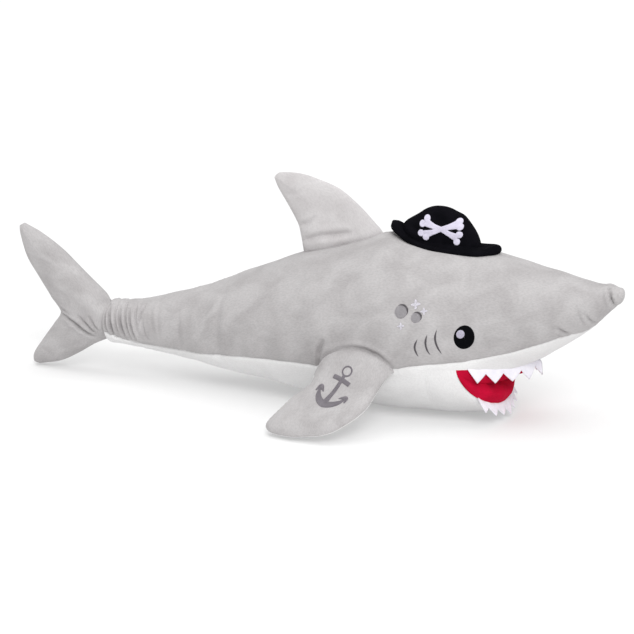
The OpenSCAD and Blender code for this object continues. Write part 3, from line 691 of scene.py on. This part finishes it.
def build_jaw():
    """White chin and throat, from the lower rim down and back to the belly."""
    s = np.linspace(-1, 1, 141)
    t = np.linspace(0, 1, 56)
    _, deep = across_mouth(s)
    rim = lower_rim(s)
    low = lip_angle(np.array([THROAT_X]))[0]
    back = white_skin(np.full(len(s), THROAT_X), 180 - (180 - low) * np.abs(s) ** 0.9, share=0.0)
    back[:, 1] *= np.where(s > 0, -1, 1)
    down = np.stack([-0.4 - 0.6 * (1 - deep), 0.15 * np.sign(s) * np.abs(s), -0.3 - 0.6 * deep], -1)
    reach = size_of(rim - back)[:, None]
    grid = hermite(rim[:, None], (0.85 * down * reach)[:, None], back[:, None],
                   (np.array([-1.0, 0, 0]) * reach)[:, None], t[None, :, None])
    edge_x = CORNER[0] + (THROAT_X - CORNER[0]) * t
    edge = white_skin(edge_x, lip_angle(edge_x))
    for k, turn in ((0, 1), (-1, -1)):
        miss = (edge if turn > 0 else mirrored(edge)) - grid[k]
        grid += (np.clip(-turn * s, 0, 1) ** 9)[:, None, None] * miss[None]
    off_corner = smooth_step((1 - np.abs(s)) / 0.1)[:, None]
    normal = grid_normals(grid, np.array([240.0, 0, 90]))
    offset = lumps(grid, 40, 21) * np.sin(np.pi * t) - 1.6 * np.exp(-t / 0.035)
    grid += normal * (offset * off_corner)[..., None]
    grid = off_floor(grid, smooth_step(t / 0.5)[None, :])
    obj = grid_object("chin", grid, WHITE, inside=(240, 0, 90))
    place(obj, ["jaw_cover", "jaw_filling"], bend=JAW_BEND)


def build_lining():
    """Red roof of the mouth and red inside of the lower lip, which meet in a deep crease."""
    s = np.linspace(-1, 1, 141)
    _, deep = across_mouth(s)
    top, fold, low = upper_rim(s), inner_crease(s), lower_rim(s)
    t = spread(34, 0.4)[None, :, None]
    swell = np.sin(np.pi * t[..., 0]) * deep[:, None]
    roof = top[:, None] + (fold - top)[:, None] * t + np.array([0.25, 0, -1.0]) * (5 * swell)[..., None]
    roof[:, -1] += np.array([-7.0, 0, 5.0]) * deep[:, None]
    out = unit(np.stack([0.25 + deep, np.sign(s) * (1 - deep), 0 * s + 0.1], -1))
    lip = fold[:, None] + (low - fold)[:, None] * t + out[:, None] * (11 * swell)[..., None]
    lip[:, 0] += np.array([-5.0, 0, 6.0]) * deep[:, None]
    pieces = []
    for name, grid, seed in (("palate", roof, 31), ("inner_lip", lip, 32)):
        normal = grid_normals(grid, np.array([300.0, 0, 80]))
        grid += normal * (1.2 * lumps(grid, 15, seed) * swell)[..., None]
        pieces.append(grid_object(name, grid, RED, inside=(300, 0, 75)))
    place(pieces[0], ["palate_lining"], body="trunk")
    place(pieces[1], ["jaw_lining"], bend=JAW_BEND)


# ---- Teeth ----

# Even, so that every tooth has its root and its tip on a step
STEPS_PER_TOOTH = 16


def build_teeth(name, rim, reach, count, root, tip, lean, node, bend=None):
    """One strip of felt with teeth cut in its lower edge, sewn along a share of a rim of the mouth.

    The felt hangs down by root between the teeth and by tip at their points, and leans outwards.
    """
    share = np.linspace(0, count, count * STEPS_PER_TOOTH + 1)
    points = resample(rim(np.linspace(-reach, reach, 241)), share / count)
    whole = np.floor(np.minimum(share, count - 1e-6))
    peak = 1 - np.abs(2 * (share - whole) - 1)
    ends = 0.82 + 0.18 * np.sin(np.pi * np.clip(share / count, 0, 1))
    size = 1 + 0.08 * np.sin(whole * 2.3 + 0.7)
    root = np.where((share < 0.5) | (share > count - 0.5), 1.0, root)
    depth = root + (tip * size * ends - root) * peak ** 0.92
    out = unit(points - np.array([CORNER[0] - 40, 0, 0])) * (1, 1, 0)
    down = np.array([0, 0, -1.0])
    v = np.linspace(0, 1, 9)[None, :]
    fall = np.sin(v * np.pi / 2) if lean > 0.5 else v
    grid = points[:, None] + (down * depth[:, None, None] * fall[..., None]) + (0, 0, 1.6)
    spring = lean * depth[:, None] * v + 1.2 + 0.9 * np.sin(share * 5.1)[:, None] * v
    grid += out[:, None] * (spring - 3.0 * np.exp(-v / 0.08))[..., None]
    grid[..., 2] = np.maximum(grid[..., 2], FLOOR_CLEARANCE + 0.6)
    obj = grid_object(name, grid, FELT, inside=(CORNER[0] - 40, 0, 80))
    thick = obj.modifiers.new("felt", "SOLIDIFY")
    thick.thickness, thick.offset = 1.5 * MM, 0
    place(obj, [node], body=None if bend else "trunk", bend=bend)


# ---- Flat stuffed fins ----

def edge_distance(flat, edges):
    """Distance from the nearest free edge of a fin."""
    return np.min([path_distance(flat, np.array(edge, float))[0] for edge in edges], axis=0)


def pillow(distance, reach):
    """Share of the full thickness at a distance from the seam: steep at the edge, flat in the middle."""
    t = 1 - np.clip(distance / reach, 0, 1)
    return np.sqrt(np.maximum(1 - t ** 2, 0))


def between(a, b, columns, ends=0.7):
    """Grid of points between two edges."""
    u = spread(columns, ends)[None, :, None]
    return a[:, None] * (1 - u) + b[:, None] * u


def sewn_halves(names, seeds, flat, rise_of, folds, material, middle):
    """Near and far half of a flat stuffed shape that stands in the plane of X and Z.

    rise_of gives the height over that plane for a seed; folds is an offset that both halves share.
    """
    halves = []
    for name, seed, y_side in zip(names, seeds, (-1, 1)):
        rise = np.maximum(rise_of(seed) + folds, 0)
        grid = np.stack([flat[..., 0], y_side * rise, flat[..., 1]], -1)
        grid[..., 2] = np.maximum(grid[..., 2], FLOOR_CLEARANCE)
        halves.append(grid_object(name, grid, material, inside=(middle[0], -y_side * 60, middle[1])))
    return halves


TAIL_REAR = [(-480, 4), (-485, 8), (-483, 23), (-463, 51), (-444, 76), (-431, 97), (-446, 118), (-453, 129),
             (-472, 156), (-490, 185), (-501, 222), (-502, 236)]
TAIL_FRONT_LOW = [(-474, 3), (-434, 12), (-402, 28), (-371, 47), (-346, 59)]
TAIL_FRONT_HIGH = [(-341, 124), (-361, 143), (-399, 178), (-425, 202), (-461, 226), (-493, 241)]
TAIL_JOIN = [(-346, 59), (-337, 67), (-333, 80), (-332, 93), (-332, 105), (-334, 115), (-341, 124)]
TAIL_CREASES = [([(-432, 99), (-412, 93), (-392, 83), (-376, 74), (-350, 60)], 6.5, 2.6),
                ([(-432, 106), (-418, 103), (-402, 97)], 3.4, 2.2),
                ([(-386, 96), (-368, 82), (-348, 64)], 5.0, 2.2),
                ([(-366, 98), (-358, 84), (-347, 70)], 4.2, 2.2),
                ([(-362, 132), (-354, 120), (-347, 112)], 1.6, 3.0),
                ([(-470, 34), (-452, 30), (-438, 24)], 1.0, 3.4),
                ([(-372, 62), (-386, 52), (-404, 44)], 1.4, 4.0)]


def build_tail_fin():
    """Two grey halves, sewn round their edge and gathered on to the end of the body."""
    front = TAIL_FRONT_LOW[:-1] + TAIL_JOIN + TAIL_FRONT_HIGH[1:]
    a, b = curve(TAIL_REAR, spread(170, 0.3)), curve(front, spread(170, 0.3))
    flat = between(a, b, 72)
    joined_on = (b[:, 0] > -347) & (b[:, 1] > 58) & (b[:, 1] < 126)
    first, last = np.flatnonzero(joined_on)[[0, -1]]
    free = [a, b[:first + 1], b[last:], [a[0], b[0]], [a[-1], b[-1]]]
    d = edge_distance(flat, free)
    join = path_distance(flat, np.array(TAIL_JOIN, float))[0]
    full = np.interp(join, [0, 45, 100, 150, 200], [34, 27, 19, 13, 10])

    def rise(seed):
        stuffed = full * pillow(d, 34) + 0.9 * lumps(flat, 38, seed) * pillow(d, 26)
        along = flat[..., 0] + flat[..., 1]
        return stuffed * (1 - np.exp(-join / 6)) + pucker(along, d, 0.5, 10, 7, seed) * pillow(d, 6)

    folds = creases(flat, TAIL_CREASES) * pillow(d, 14)
    names = ("tail_fin_right", "tail_fin_left")
    right, left = sewn_halves(names, (41, 45), flat, rise, folds, GREY, (-400, 110))
    bend = ("tail_stock", "tail_fin", (SWING_X + 12, 0, 90), (SWING_X - 52, 0, 90))
    place(right, ["tail_fin_right_panel", "tail_fin_filling"], bend=bend)
    place(left, ["tail_fin_left_panel"], bend=bend)


DORSAL_REAR = [(-4, 226), (-5, 236), (-9, 258), (-14, 276), (-30, 304), (-46, 329), (-53, 345)]
DORSAL_FRONT = [(137, 250), (124, 272), (112, 285), (89, 308), (55, 334), (20, 347), (-9, 354), (-41, 354),
                (-51, 349)]
DORSAL_CREASES = [([(-3, 250), (28, 261), (70, 268)], 4.0, 4.0), ([(-6, 274), (6, 278), (17, 288)], 3.0, 3.5),
                  ([(40, 256), (58, 266), (82, 270)], 2.0, 4.0),
                  ([(-34, 320), (-18, 322), (-2, 330)], 0.9, 4.0)]


def build_dorsal_fin():
    a, b = curve(DORSAL_REAR, spread(90, 0.3)), curve(DORSAL_FRONT, spread(90, 0.3))
    flat = between(a, b, 70)
    d = edge_distance(flat, [a, b, [a[-1], b[-1]]])
    height = np.clip((flat[..., 1] - DORSAL_LOW[2]) / (DORSAL_HIGH[2] - DORSAL_LOW[2]), 0, 1)
    above = flat[..., 1] - skin.point(flat[..., 0], 0)[..., 2]

    def rise(seed):
        stuffed = 17 * (1 - 0.42 * height) * pillow(d, 45) + 0.8 * lumps(flat, 34, seed) * pillow(d, 26)
        stitched = stuffed + pucker(flat[..., 0] - flat[..., 1], d, 0.45, 9, 7, seed) * pillow(d, 6)
        return stitched + seam_dip(np.abs(above + 2), 3.2, 3.2)

    folds = creases(flat, DORSAL_CREASES) * pillow(d, 14)
    names = ("dorsal_fin_right", "dorsal_fin_left")
    # The dorsal fin wears the lighter grey velour: painted light for the light it catches from above
    right, left = sewn_halves(names, (51, 55), flat, rise, folds, GREY_PAINTED_LIGHTER, (40, 280))
    hinge, up = np.array([60, 0, 248]), np.array([-0.2296, 0, 0.9733])
    bend = ("trunk", "dorsal_fin", hinge, hinge + 28 * up)
    place(right, ["dorsal_fin_right_panel", "dorsal_fin_filling"], bend=bend)
    place(left, ["dorsal_fin_left_panel"], bend=bend)


# ---- Pectoral fins ----

LEADING = [(185, -125, 93), (180, -138, 88), (175, -149, 80), (170, -168, 66), (164, -190, 51),
           (150, -208, 37), (126, -226, 22), (104, -232, 14)]
TRAILING = [(58, -113, 76), (60, -130, 74), (62, -136, 71), (58, -152, 60), (38, -172, 44), (25, -191, 30),
            (15, -208, 18), (16, -217, 12), (30, -226, 8), (62, -233, 8)]
# The fin's edges at its root are turned in under the cloth of the flank
TOP_TUCK, UNDER_TUCK = (0, 12.0, -4.0), (0, 9.0, -3.0)
DROOP = np.radians(32.5)
FIN_NORMAL = np.array([0, -np.sin(DROOP), np.cos(DROOP)])
FIN_CREASES = [([(64, -128, 96), (88, -138, 104), (124, -142, 106), (160, -140, 103), (182, -135, 96)],
                2.4, 3.0),
               ([(66, -128, 90), (82, -146, 84), (96, -164, 74)], 1.6, 4.0),
               ([(54, -150, 66), (70, -158, 68), (84, -168, 66)], 1.2, 4.0)]


def pectoral_bend(side, y_side):
    return "trunk", f"{side}_pectoral_fin", (100, -y_side * 124, 80), (100, -y_side * 152, 80)


def build_pectoral(side):
    """Grey top and white underside of one pectoral fin; both meet the flank along its root."""
    lead, trail = curve(LEADING, spread(64, 0.2)), curve(TRAILING, spread(64, 0.2))
    plane = between(trail, lead, 46, 0.75)
    v = np.linspace(0, 1, 64)[:, None]
    free = [trail, lead, [trail[-1], lead[-1]]]
    d = edge_distance(plane, free)
    thick = np.interp(v, [0, 0.12, 0.3, 0.6, 1.0], [15, 15, 14, 12, 7])
    shape = pillow(d, 24)
    arc = curve(ROOT_ARC, spread(46, 0.75))
    top = plane + FIN_NORMAL * (thick * shape)[..., None]
    top = top + (arc - top[0])[None] * (1 - smooth_step(v / 0.42))[..., None]
    below = plane - FIN_NORMAL * (0.95 * thick * shape)[..., None]
    below = below + np.array(UNDER_TUCK) * (np.exp(-v / 0.03) * shape)[..., None]
    heart = plane[20, 23]
    y_side = 1 if side == "right" else -1
    halves = (("top", top, 1, creases(top, FIN_CREASES), TOP_TUCK, 61, GREY, "grey_velour"),
              ("under", below, -1, 0, (0, 0, 0), 65, WHITE, "white_velour"))
    nodes = {"top": [f"{side}_fin_top_panel", f"{side}_fin_filling"], "under": [f"{side}_fin_underside"]}
    pieces = []
    for name, grid, up, folds, tuck, seed, material, slot in halves:
        normal = grid_normals(grid, heart - up * 80 * FIN_NORMAL)
        offset = 0.8 * lumps(grid, 30, seed) * pillow(d, 20) + folds
        offset += pucker(grid[..., 0] + grid[..., 1], d, 0.5, 9, 7, seed) * pillow(d, 6)
        grid = grid + normal * (offset * smooth_step(v / 0.06))[..., None]
        grid += np.array(tuck) * np.exp(-v / 0.02)[..., None]
        grid[..., 2] = np.maximum(grid[..., 2], FLOOR_CLEARANCE + (0.5 if up > 0 else 0))
        grid = grid if y_side > 0 else mirrored(grid)
        obj = grid_object(f"{side}_fin_{name}", grid, material, inside=(100, -y_side * 175, 50 - up * 250))
        pieces.append(place(obj, nodes[name], bend=pectoral_bend(side, y_side)))
    return pieces


# ---- Embroidery ----

class Ground:
    """The finished cloth that stitches lie on: plane coordinates are thrown on to it along one direction."""

    def __init__(self, pieces, origin, across, up, throw, far=120.0):
        self.tree = tree_of(pieces)
        self.origin, self.across, self.up = (np.array(v, float) for v in (origin, across, up))
        self.throw = unit(np.array(throw, float))
        self.far = far

    def on(self, plane, lift):
        """Places on the cloth for plane points (across, up), raised off it by lift."""
        out = np.zeros(plane.shape[:-1] + (3,))
        for i in np.ndindex(plane.shape[:-1]):
            start = self.origin + plane[i][0] * self.across + plane[i][1] * self.up - self.throw * self.far
            spot, normal, _, _ = self.tree.ray_cast(Vector(start), Vector(self.throw), 2 * self.far)
            if spot is None:
                spot, normal, _, _ = self.tree.find_nearest(Vector(start + self.throw * self.far))
            normal = normal if normal.dot(Vector(self.throw)) < 0 else -normal
            out[i] = np.array(spot) + np.array(normal) * lift[i]
        return out

    def behind(self, grid):
        """A point behind the cloth, on the far side of a grid that lies on it."""
        return 2 * grid.reshape(-1, 3).mean(0) - self.origin + self.throw * 400


def side_ground(piece, y_side, origin=None):
    """Cloth that faces sideways; without an origin, places on it are X and Z of the frame."""
    return Ground([piece], origin or (0, -y_side * 120, 0), (1, 0, 0), (0, 0, 1), (0, y_side, 0))


def joined(name, objects):
    """Several meshes as one object."""
    with bpy.context.temp_override(active_object=objects[0], object=objects[0], selected_objects=objects,
                                   selected_editable_objects=objects):
        bpy.ops.object.join()
    objects[0].name = name
    return objects[0]


STITCH_STEP = 1.3


def stroke(ground, path, widths, material, raised=1.3, sink=0.7, count=None, edge=1.6):
    """A satin stitched line of changing width, domed across."""
    count = count or max(int(size_of(np.diff(path, axis=0)).sum() / STITCH_STEP), 10)
    middle = curve(path, np.linspace(0, 1, count))
    half = np.interp(np.linspace(0, 1, count), np.linspace(0, 1, len(widths)), widths) / 2
    way = unit(np.gradient(middle, axis=0))
    side = np.stack([-way[:, 1], way[:, 0]], -1)
    c = np.sin(np.linspace(-1, 1, 9) * np.pi / 2)
    plane = middle[:, None] + side[:, None] * (half[:, None] * c[None])[..., None]
    dome = pillow(half[:, None] * (1 - np.abs(c))[None], edge) * np.minimum(half / 1.6, 1)[:, None]
    grid = ground.on(plane, raised * dome - sink)
    return grid_object("stroke", grid, material, inside=ground.behind(grid))


def patch(ground, centre, radii, material, raised=1.3, sink=0.7, turn=0.0, star=0, edge=3.0, name="patch"):
    """A stitched oval or star, domed from its edge; a star has that many arms."""
    angle = np.linspace(0, 2 * np.pi, 48, endpoint=False)
    r = np.sin(np.linspace(0.02, 1, 12) * np.pi / 2)[:, None]
    outline = np.stack([radii[0] * np.cos(angle), radii[1] * np.sin(angle)], -1)
    if star:
        reach = 0.48 + 0.52 * np.abs(np.cos(star * angle / 2)) ** 2.5
        outline = outline * reach[:, None]
    spin = np.array([[np.cos(turn), -np.sin(turn)], [np.sin(turn), np.cos(turn)]])
    plane = np.array(centre) + r[..., None] * (outline @ spin.T)[None]
    lift = raised * pillow((1 - r) * min(radii) + 0 * angle, edge) - sink
    grid = ground.on(plane, lift)
    return grid_object(name, grid, material, inside=ground.behind(grid), closed=True)


GILLS = [[(248, 164), (245, 147), (249, 132), (259, 116)], [(235, 156), (232, 140), (235, 127), (243, 116)],
         [(222, 148), (217, 134), (219, 124), (225, 113)]]
EYE_AT, EYE_SIZE = (285, 147), (29.5, 35.5)
HIGHLIGHT_AT, HIGHLIGHT_SIZE = (280, 152), (12, 13)
SPOTS = [((193, 182), 10), ((216, 175), 7.8)]
SPARKLES = [((213, 193), 7.0), ((226, 184), 5.2), ((195, 162), 5.4)]


def build_face(side):
    """Eye, gills, spots and sparkles of one side of the head."""
    y_side = 1 if side == "right" else -1
    ground = side_ground(back[side], y_side)
    eye = patch(ground, EYE_AT, np.array(EYE_SIZE) / 2, EYE_BLACK, raised=2.6, name=f"{side}_eye_satin")
    place(eye, [f"{side}_eye"], body="trunk")
    shine = patch(side_ground(eye, y_side), HIGHLIGHT_AT, np.array(HIGHLIGHT_SIZE) / 2, LILAC, raised=1.5,
                  sink=0.5, name=f"{side}_eye_shine")
    place(shine, [f"{side}_eye_highlight"], body="trunk")
    gills = [stroke(ground, path, (0.9, 3.4, 3.0, 0.9), THREAD, raised=1.5) for path in GILLS]
    place(joined(f"{side}_gills", gills), [f"{side}_gill_stitches"], body="trunk")
    spots = [patch(ground, at, (r, r), SPOT_THREAD, raised=1.4) for at, r in SPOTS]
    rims = []
    for (x, z), r in SPOTS:
        turn = np.radians(np.linspace(-30, 130, 9))
        path = np.stack([x + (r - 0.3) * np.cos(turn), z + (r - 0.3) * np.sin(turn)], -1)
        rims.append(stroke(ground, path, (0.9, 2.8, 2.8, 0.9), THREAD, raised=3.0))
    place(joined(f"{side}_spots", spots), [f"{side}_cheek_spots"], body="trunk")
    place(joined(f"{side}_spot_rims", rims), [], body="trunk")
    stars = [patch(ground, at, (r, r), SPARKLE, raised=1.6, star=4, turn=0.15, edge=1.0)
             for at, r in SPARKLES]
    place(joined(f"{side}_sparkles", stars), [f"{side}_cheek_sparkles"], body="trunk")


# Anchor, in millimetres on the fin, up along its shank: path and widths of each stroke
ANCHOR_AT, ANCHOR_LEAN = (110.5, -167.5, 55.2), np.radians(24)
ANCHOR = [([(0, 24), (0, 12), (0, -8), (0, -26)], (5.6, 6.4, 7.6, 11.0)),
          ([(-15, 15.5), (0, 16), (15, 15.5)], (7.0, 7.4, 7.0)),
          ([(-24, -7), (-21, -16), (-12, -25), (0, -29), (12, -25), (21, -16), (24, -7)],
           (3.0, 8.5, 11.0, 12.5, 11.0, 8.5, 3.0)),
          ([(-28.5, -14), (-24.5, -5), (-15, -11)], (2.4, 8.5, 2.0)),
          ([(28.5, -14), (24.5, -5), (15, -11)], (2.4, 8.5, 2.0))]
RING_HEIGHT, RING_RADIUS = 30, 7.2


def build_anchor():
    lean = np.array([np.cos(ANCHOR_LEAN), np.sin(ANCHOR_LEAN)])
    fall = np.array([0, np.cos(DROOP), np.sin(DROOP)])
    ahead = np.array([1.0, 0, 0])
    up = ahead * lean[1] + fall * lean[0]
    across = np.cross(up, FIN_NORMAL)
    ground = Ground([right_fin[0]], ANCHOR_AT, across, up, -FIN_NORMAL)
    strokes = [stroke(ground, path, widths, ANCHOR_THREAD, raised=1.6) for path, widths in ANCHOR]
    turn = np.linspace(0, 2 * np.pi, 25)
    ring = np.stack([RING_RADIUS * np.sin(turn), RING_HEIGHT + RING_RADIUS * np.cos(turn)], -1)
    strokes.append(stroke(ground, ring, (3.0, 3.0), ANCHOR_THREAD, raised=1.6, count=36))
    stitches = joined("anchor_stitches", strokes)
    place(stitches, ["anchor_embroidery"], bend=pectoral_bend("right", 1))


# ---- Hat ----

CROWN_TOP = [(158, 270), (157, 283), (162, 293), (182, 306), (192, 313), (204, 318), (218, 319), (230, 317),
             (242, 312), (254, 306), (268, 289), (276, 275), (281, 258)]
CROWN_FOOT = [(160, 258), (190, 247), (220, 242), (252, 240), (279, 242)]
CROWN_HALF = 26.0
HAT_FOLDS = [([(170, 292), (186, 284), (204, 280)], 1.2, 3.5),
             ([(262, 288), (252, 276), (240, 270)], 1.2, 3.5),
             ([(184, 302), (196, 294), (202, 284)], 0.8, 3.0)]


def build_crown():
    """Front and back of the crown, stuffed lightly and seamed over the top."""
    top, foot = (curve(line, np.linspace(0, 1, 70)) for line in (CROWN_TOP, CROWN_FOOT))
    flat = between(top, foot, 36)
    d = path_distance(flat, top)[0]

    def rise(seed):
        stuffed = CROWN_HALF * pillow(d, 34) + 0.8 * lumps(flat, 24, seed) * pillow(d, 20)
        return stuffed + pucker(flat[..., 0], d, 0.5, 7, 5, seed) * pillow(d, 5)

    folds = creases(flat, HAT_FOLDS) * pillow(d, 12)
    names = ("hat_crown_front", "hat_crown_back")
    front, back_half = sewn_halves(names, (71, 75), flat, rise, folds, BLACK, (220, 270))
    place(front, ["hat_front_panel", "hat_filling"], body="hat")
    place(back_half, ["hat_back_panel"], body="hat")
    return front


# Middle line of the brim from its front end along the near side to its rear end
BRIM_NEAR = [(305, 0, 255), (299, -13, 254), (282, -25, 253), (258, -33, 254), (233, -36, 255.5),
             (208, -34, 257.5), (186, -30, 262), (165, -23, 270), (148, -12, 280), (143, 0, 285)]
BRIM_MIDDLE_X = 226


def build_brim():
    """A soft rolled brim, curled up at both ends."""
    near = curve(BRIM_NEAR, np.linspace(0, 1, 61))
    line = np.vstack([near, mirrored(near[-2::-1])])
    from_middle = line - np.array([222, 0, 0])
    out = unit(from_middle * (1, 1, 0) * (0.45, 1.6, 0))
    end = np.clip(np.abs((line[:, :1] - BRIM_MIDDLE_X) / 80) ** 4, 0, 1)
    r = 4.4 + np.where(line[:, :1] > BRIM_MIDDLE_X, 2.4, 1.0) * end
    width = 15 + 17 * end
    inner = 1 - 0.6 * end
    a = np.radians(np.linspace(-90, 130, 15))[None, :]
    flare = np.concatenate([-width, -0.5 * width, r * np.cos(a), -0.5 * width, -width], 1)
    rise = np.concatenate([9.5 * inner, 5 * inner, r * np.sin(a) + r - 2.5, 10 * inner, 14 * inner], 1)
    grid = line[:, None] + out[:, None] * flare[..., None] + np.array([0, 0, 1.0]) * rise[..., None]
    normal = grid_normals(grid, line[:, None] + np.array([0, 0, 2.0]))
    grid += normal * (0.8 * lumps(grid, 18, 81))[..., None]
    grid[-1] = grid[0]
    obj = grid_object("hat_brim_roll", grid, BLACK, closed=True)
    place(obj, ["hat_brim"], body="hat")


EMBLEM_AT = (224, 0, 288.5)
# Crossed bones, in millimetres round the middle: the line and widths of both shafts, and the knobs
BONES = [([(-25, 9), (-10, 3), (0, 0), (12, -6), (25, -12)], (13, 8.5, 7.5, 8.5, 13)),
         ([(-25, -9.5), (-11, -4.5), (0, 0), (12, 4), (24.5, 8)], (13, 8.5, 7.5, 8.5, 13))]
KNOBS = [(-23, 14.5), (-29.5, 6.5), (27.5, -7), (24.3, -17.5), (-31, -7.5), (-23, -13), (25.5, 11.5),
         (27.5, 4.5)]
KNOB_RADIUS = 5.3


def build_emblem():
    ground = side_ground(crown_front, 1, EMBLEM_AT)
    shafts = [stroke(ground, path, widths, EMBLEM, raised=1.7 + 0.1 * i, edge=1.2)
              for i, (path, widths) in enumerate(BONES)]
    knobs = [patch(ground, at, (KNOB_RADIUS,) * 2, EMBLEM, raised=1.65 + 0.04 * i, edge=1.2)
             for i, at in enumerate(KNOBS)]
    place(joined("hat_crossed_bones", shafts + knobs), ["hat_emblem"], body="hat")


# ---- Camera, light and floor ----

# Name, strength, softness in degrees and direction of each studio light
LIGHTS = [("overhead", 1.3, 60, (-0.1, 0, -1.0)), ("key", 1.5, 26, (-0.6, 1.05, -1.0))]
WORLD_STRENGTH = 0.60
# Azimuth and elevation in degrees; target, distance, lens and sensor in millimetres
CAMERA_TARGET, CAMERA_AZIMUTH, CAMERA_ELEVATION = (17.2, 0, 127.35), 20, 15
CAMERA_DISTANCE, CAMERA_LENS, CAMERA_SENSOR = 3000, 108.7, 36
# Half the width of the floor in metres, its grey and how much it glows
FLOOR_HALF, FLOOR_GREY, FLOOR_GLOW = 60.0, 0.62, 0.25


def build_studio():
    scene = bpy.context.scene
    turn, tilt = np.radians(CAMERA_AZIMUTH), np.radians(CAMERA_ELEVATION)
    away = np.array([np.sin(turn) * np.cos(tilt), -np.cos(turn) * np.cos(tilt), np.sin(tilt)])
    camera = bpy.data.cameras.new("camera")
    camera.lens, camera.sensor_width = CAMERA_LENS, CAMERA_SENSOR
    view = bpy.data.objects.new("camera", camera)
    view.location = (np.array(CAMERA_TARGET) + CAMERA_DISTANCE * away) * MM
    view.rotation_euler = Vector(-away).to_track_quat("-Z", "Y").to_euler()
    scene.collection.objects.link(view)
    scene.camera = view

    world = bpy.data.worlds.new("studio")
    world.use_nodes = True
    background = world.node_tree.nodes["Background"].inputs
    background["Color"].default_value = (1, 1, 1, 1)
    background["Strength"].default_value = WORLD_STRENGTH
    scene.world = world

    for name, strength, soft, way in LIGHTS:
        sun = bpy.data.lights.new(name, "SUN")
        sun.energy, sun.angle = strength, np.radians(soft)
        holder = bpy.data.objects.new(name, sun)
        holder.rotation_euler = Vector(way).to_track_quat("-Z", "Y").to_euler()
        scene.collection.objects.link(holder)

    mesh = bpy.data.meshes.new("floor")
    corners = [(x * FLOOR_HALF, y * FLOOR_HALF, 0) for x, y in ((-1, -1), (1, -1), (1, 1), (-1, 1))]
    mesh.from_pydata(corners, [], [(0, 1, 2, 3)])
    floor = bpy.data.objects.new("floor", mesh)
    shader = Shader("floor", Roughness=0.9, Specular_IOR_Level=0.05, Base_Color=(FLOOR_GREY,) * 3 + (1,),
                    Emission_Color=(1, 1, 1, 1), Emission_Strength=FLOOR_GLOW)
    mesh.materials.append(shader.material)
    scene.collection.objects.link(floor)
    scene.view_settings.view_transform = "Standard"


build_studio()
back = build_back()
build_belly()
build_lips()
build_jaw()
build_lining()
build_teeth("upper_teeth_strip", upper_rim, reach=0.76, count=9, root=7.5, tip=24, lean=0.12,
            node="upper_teeth")
build_teeth("lower_teeth_strip", lower_rim, reach=0.6, count=8, root=8, tip=19, lean=0.62,
            node="lower_teeth", bend=JAW_BEND)
build_tail_fin()
build_dorsal_fin()
right_fin = build_pectoral("right")
build_pectoral("left")
build_face("right")
build_face("left")
build_anchor()
crown_front = build_crown()
build_brim()
build_emblem()
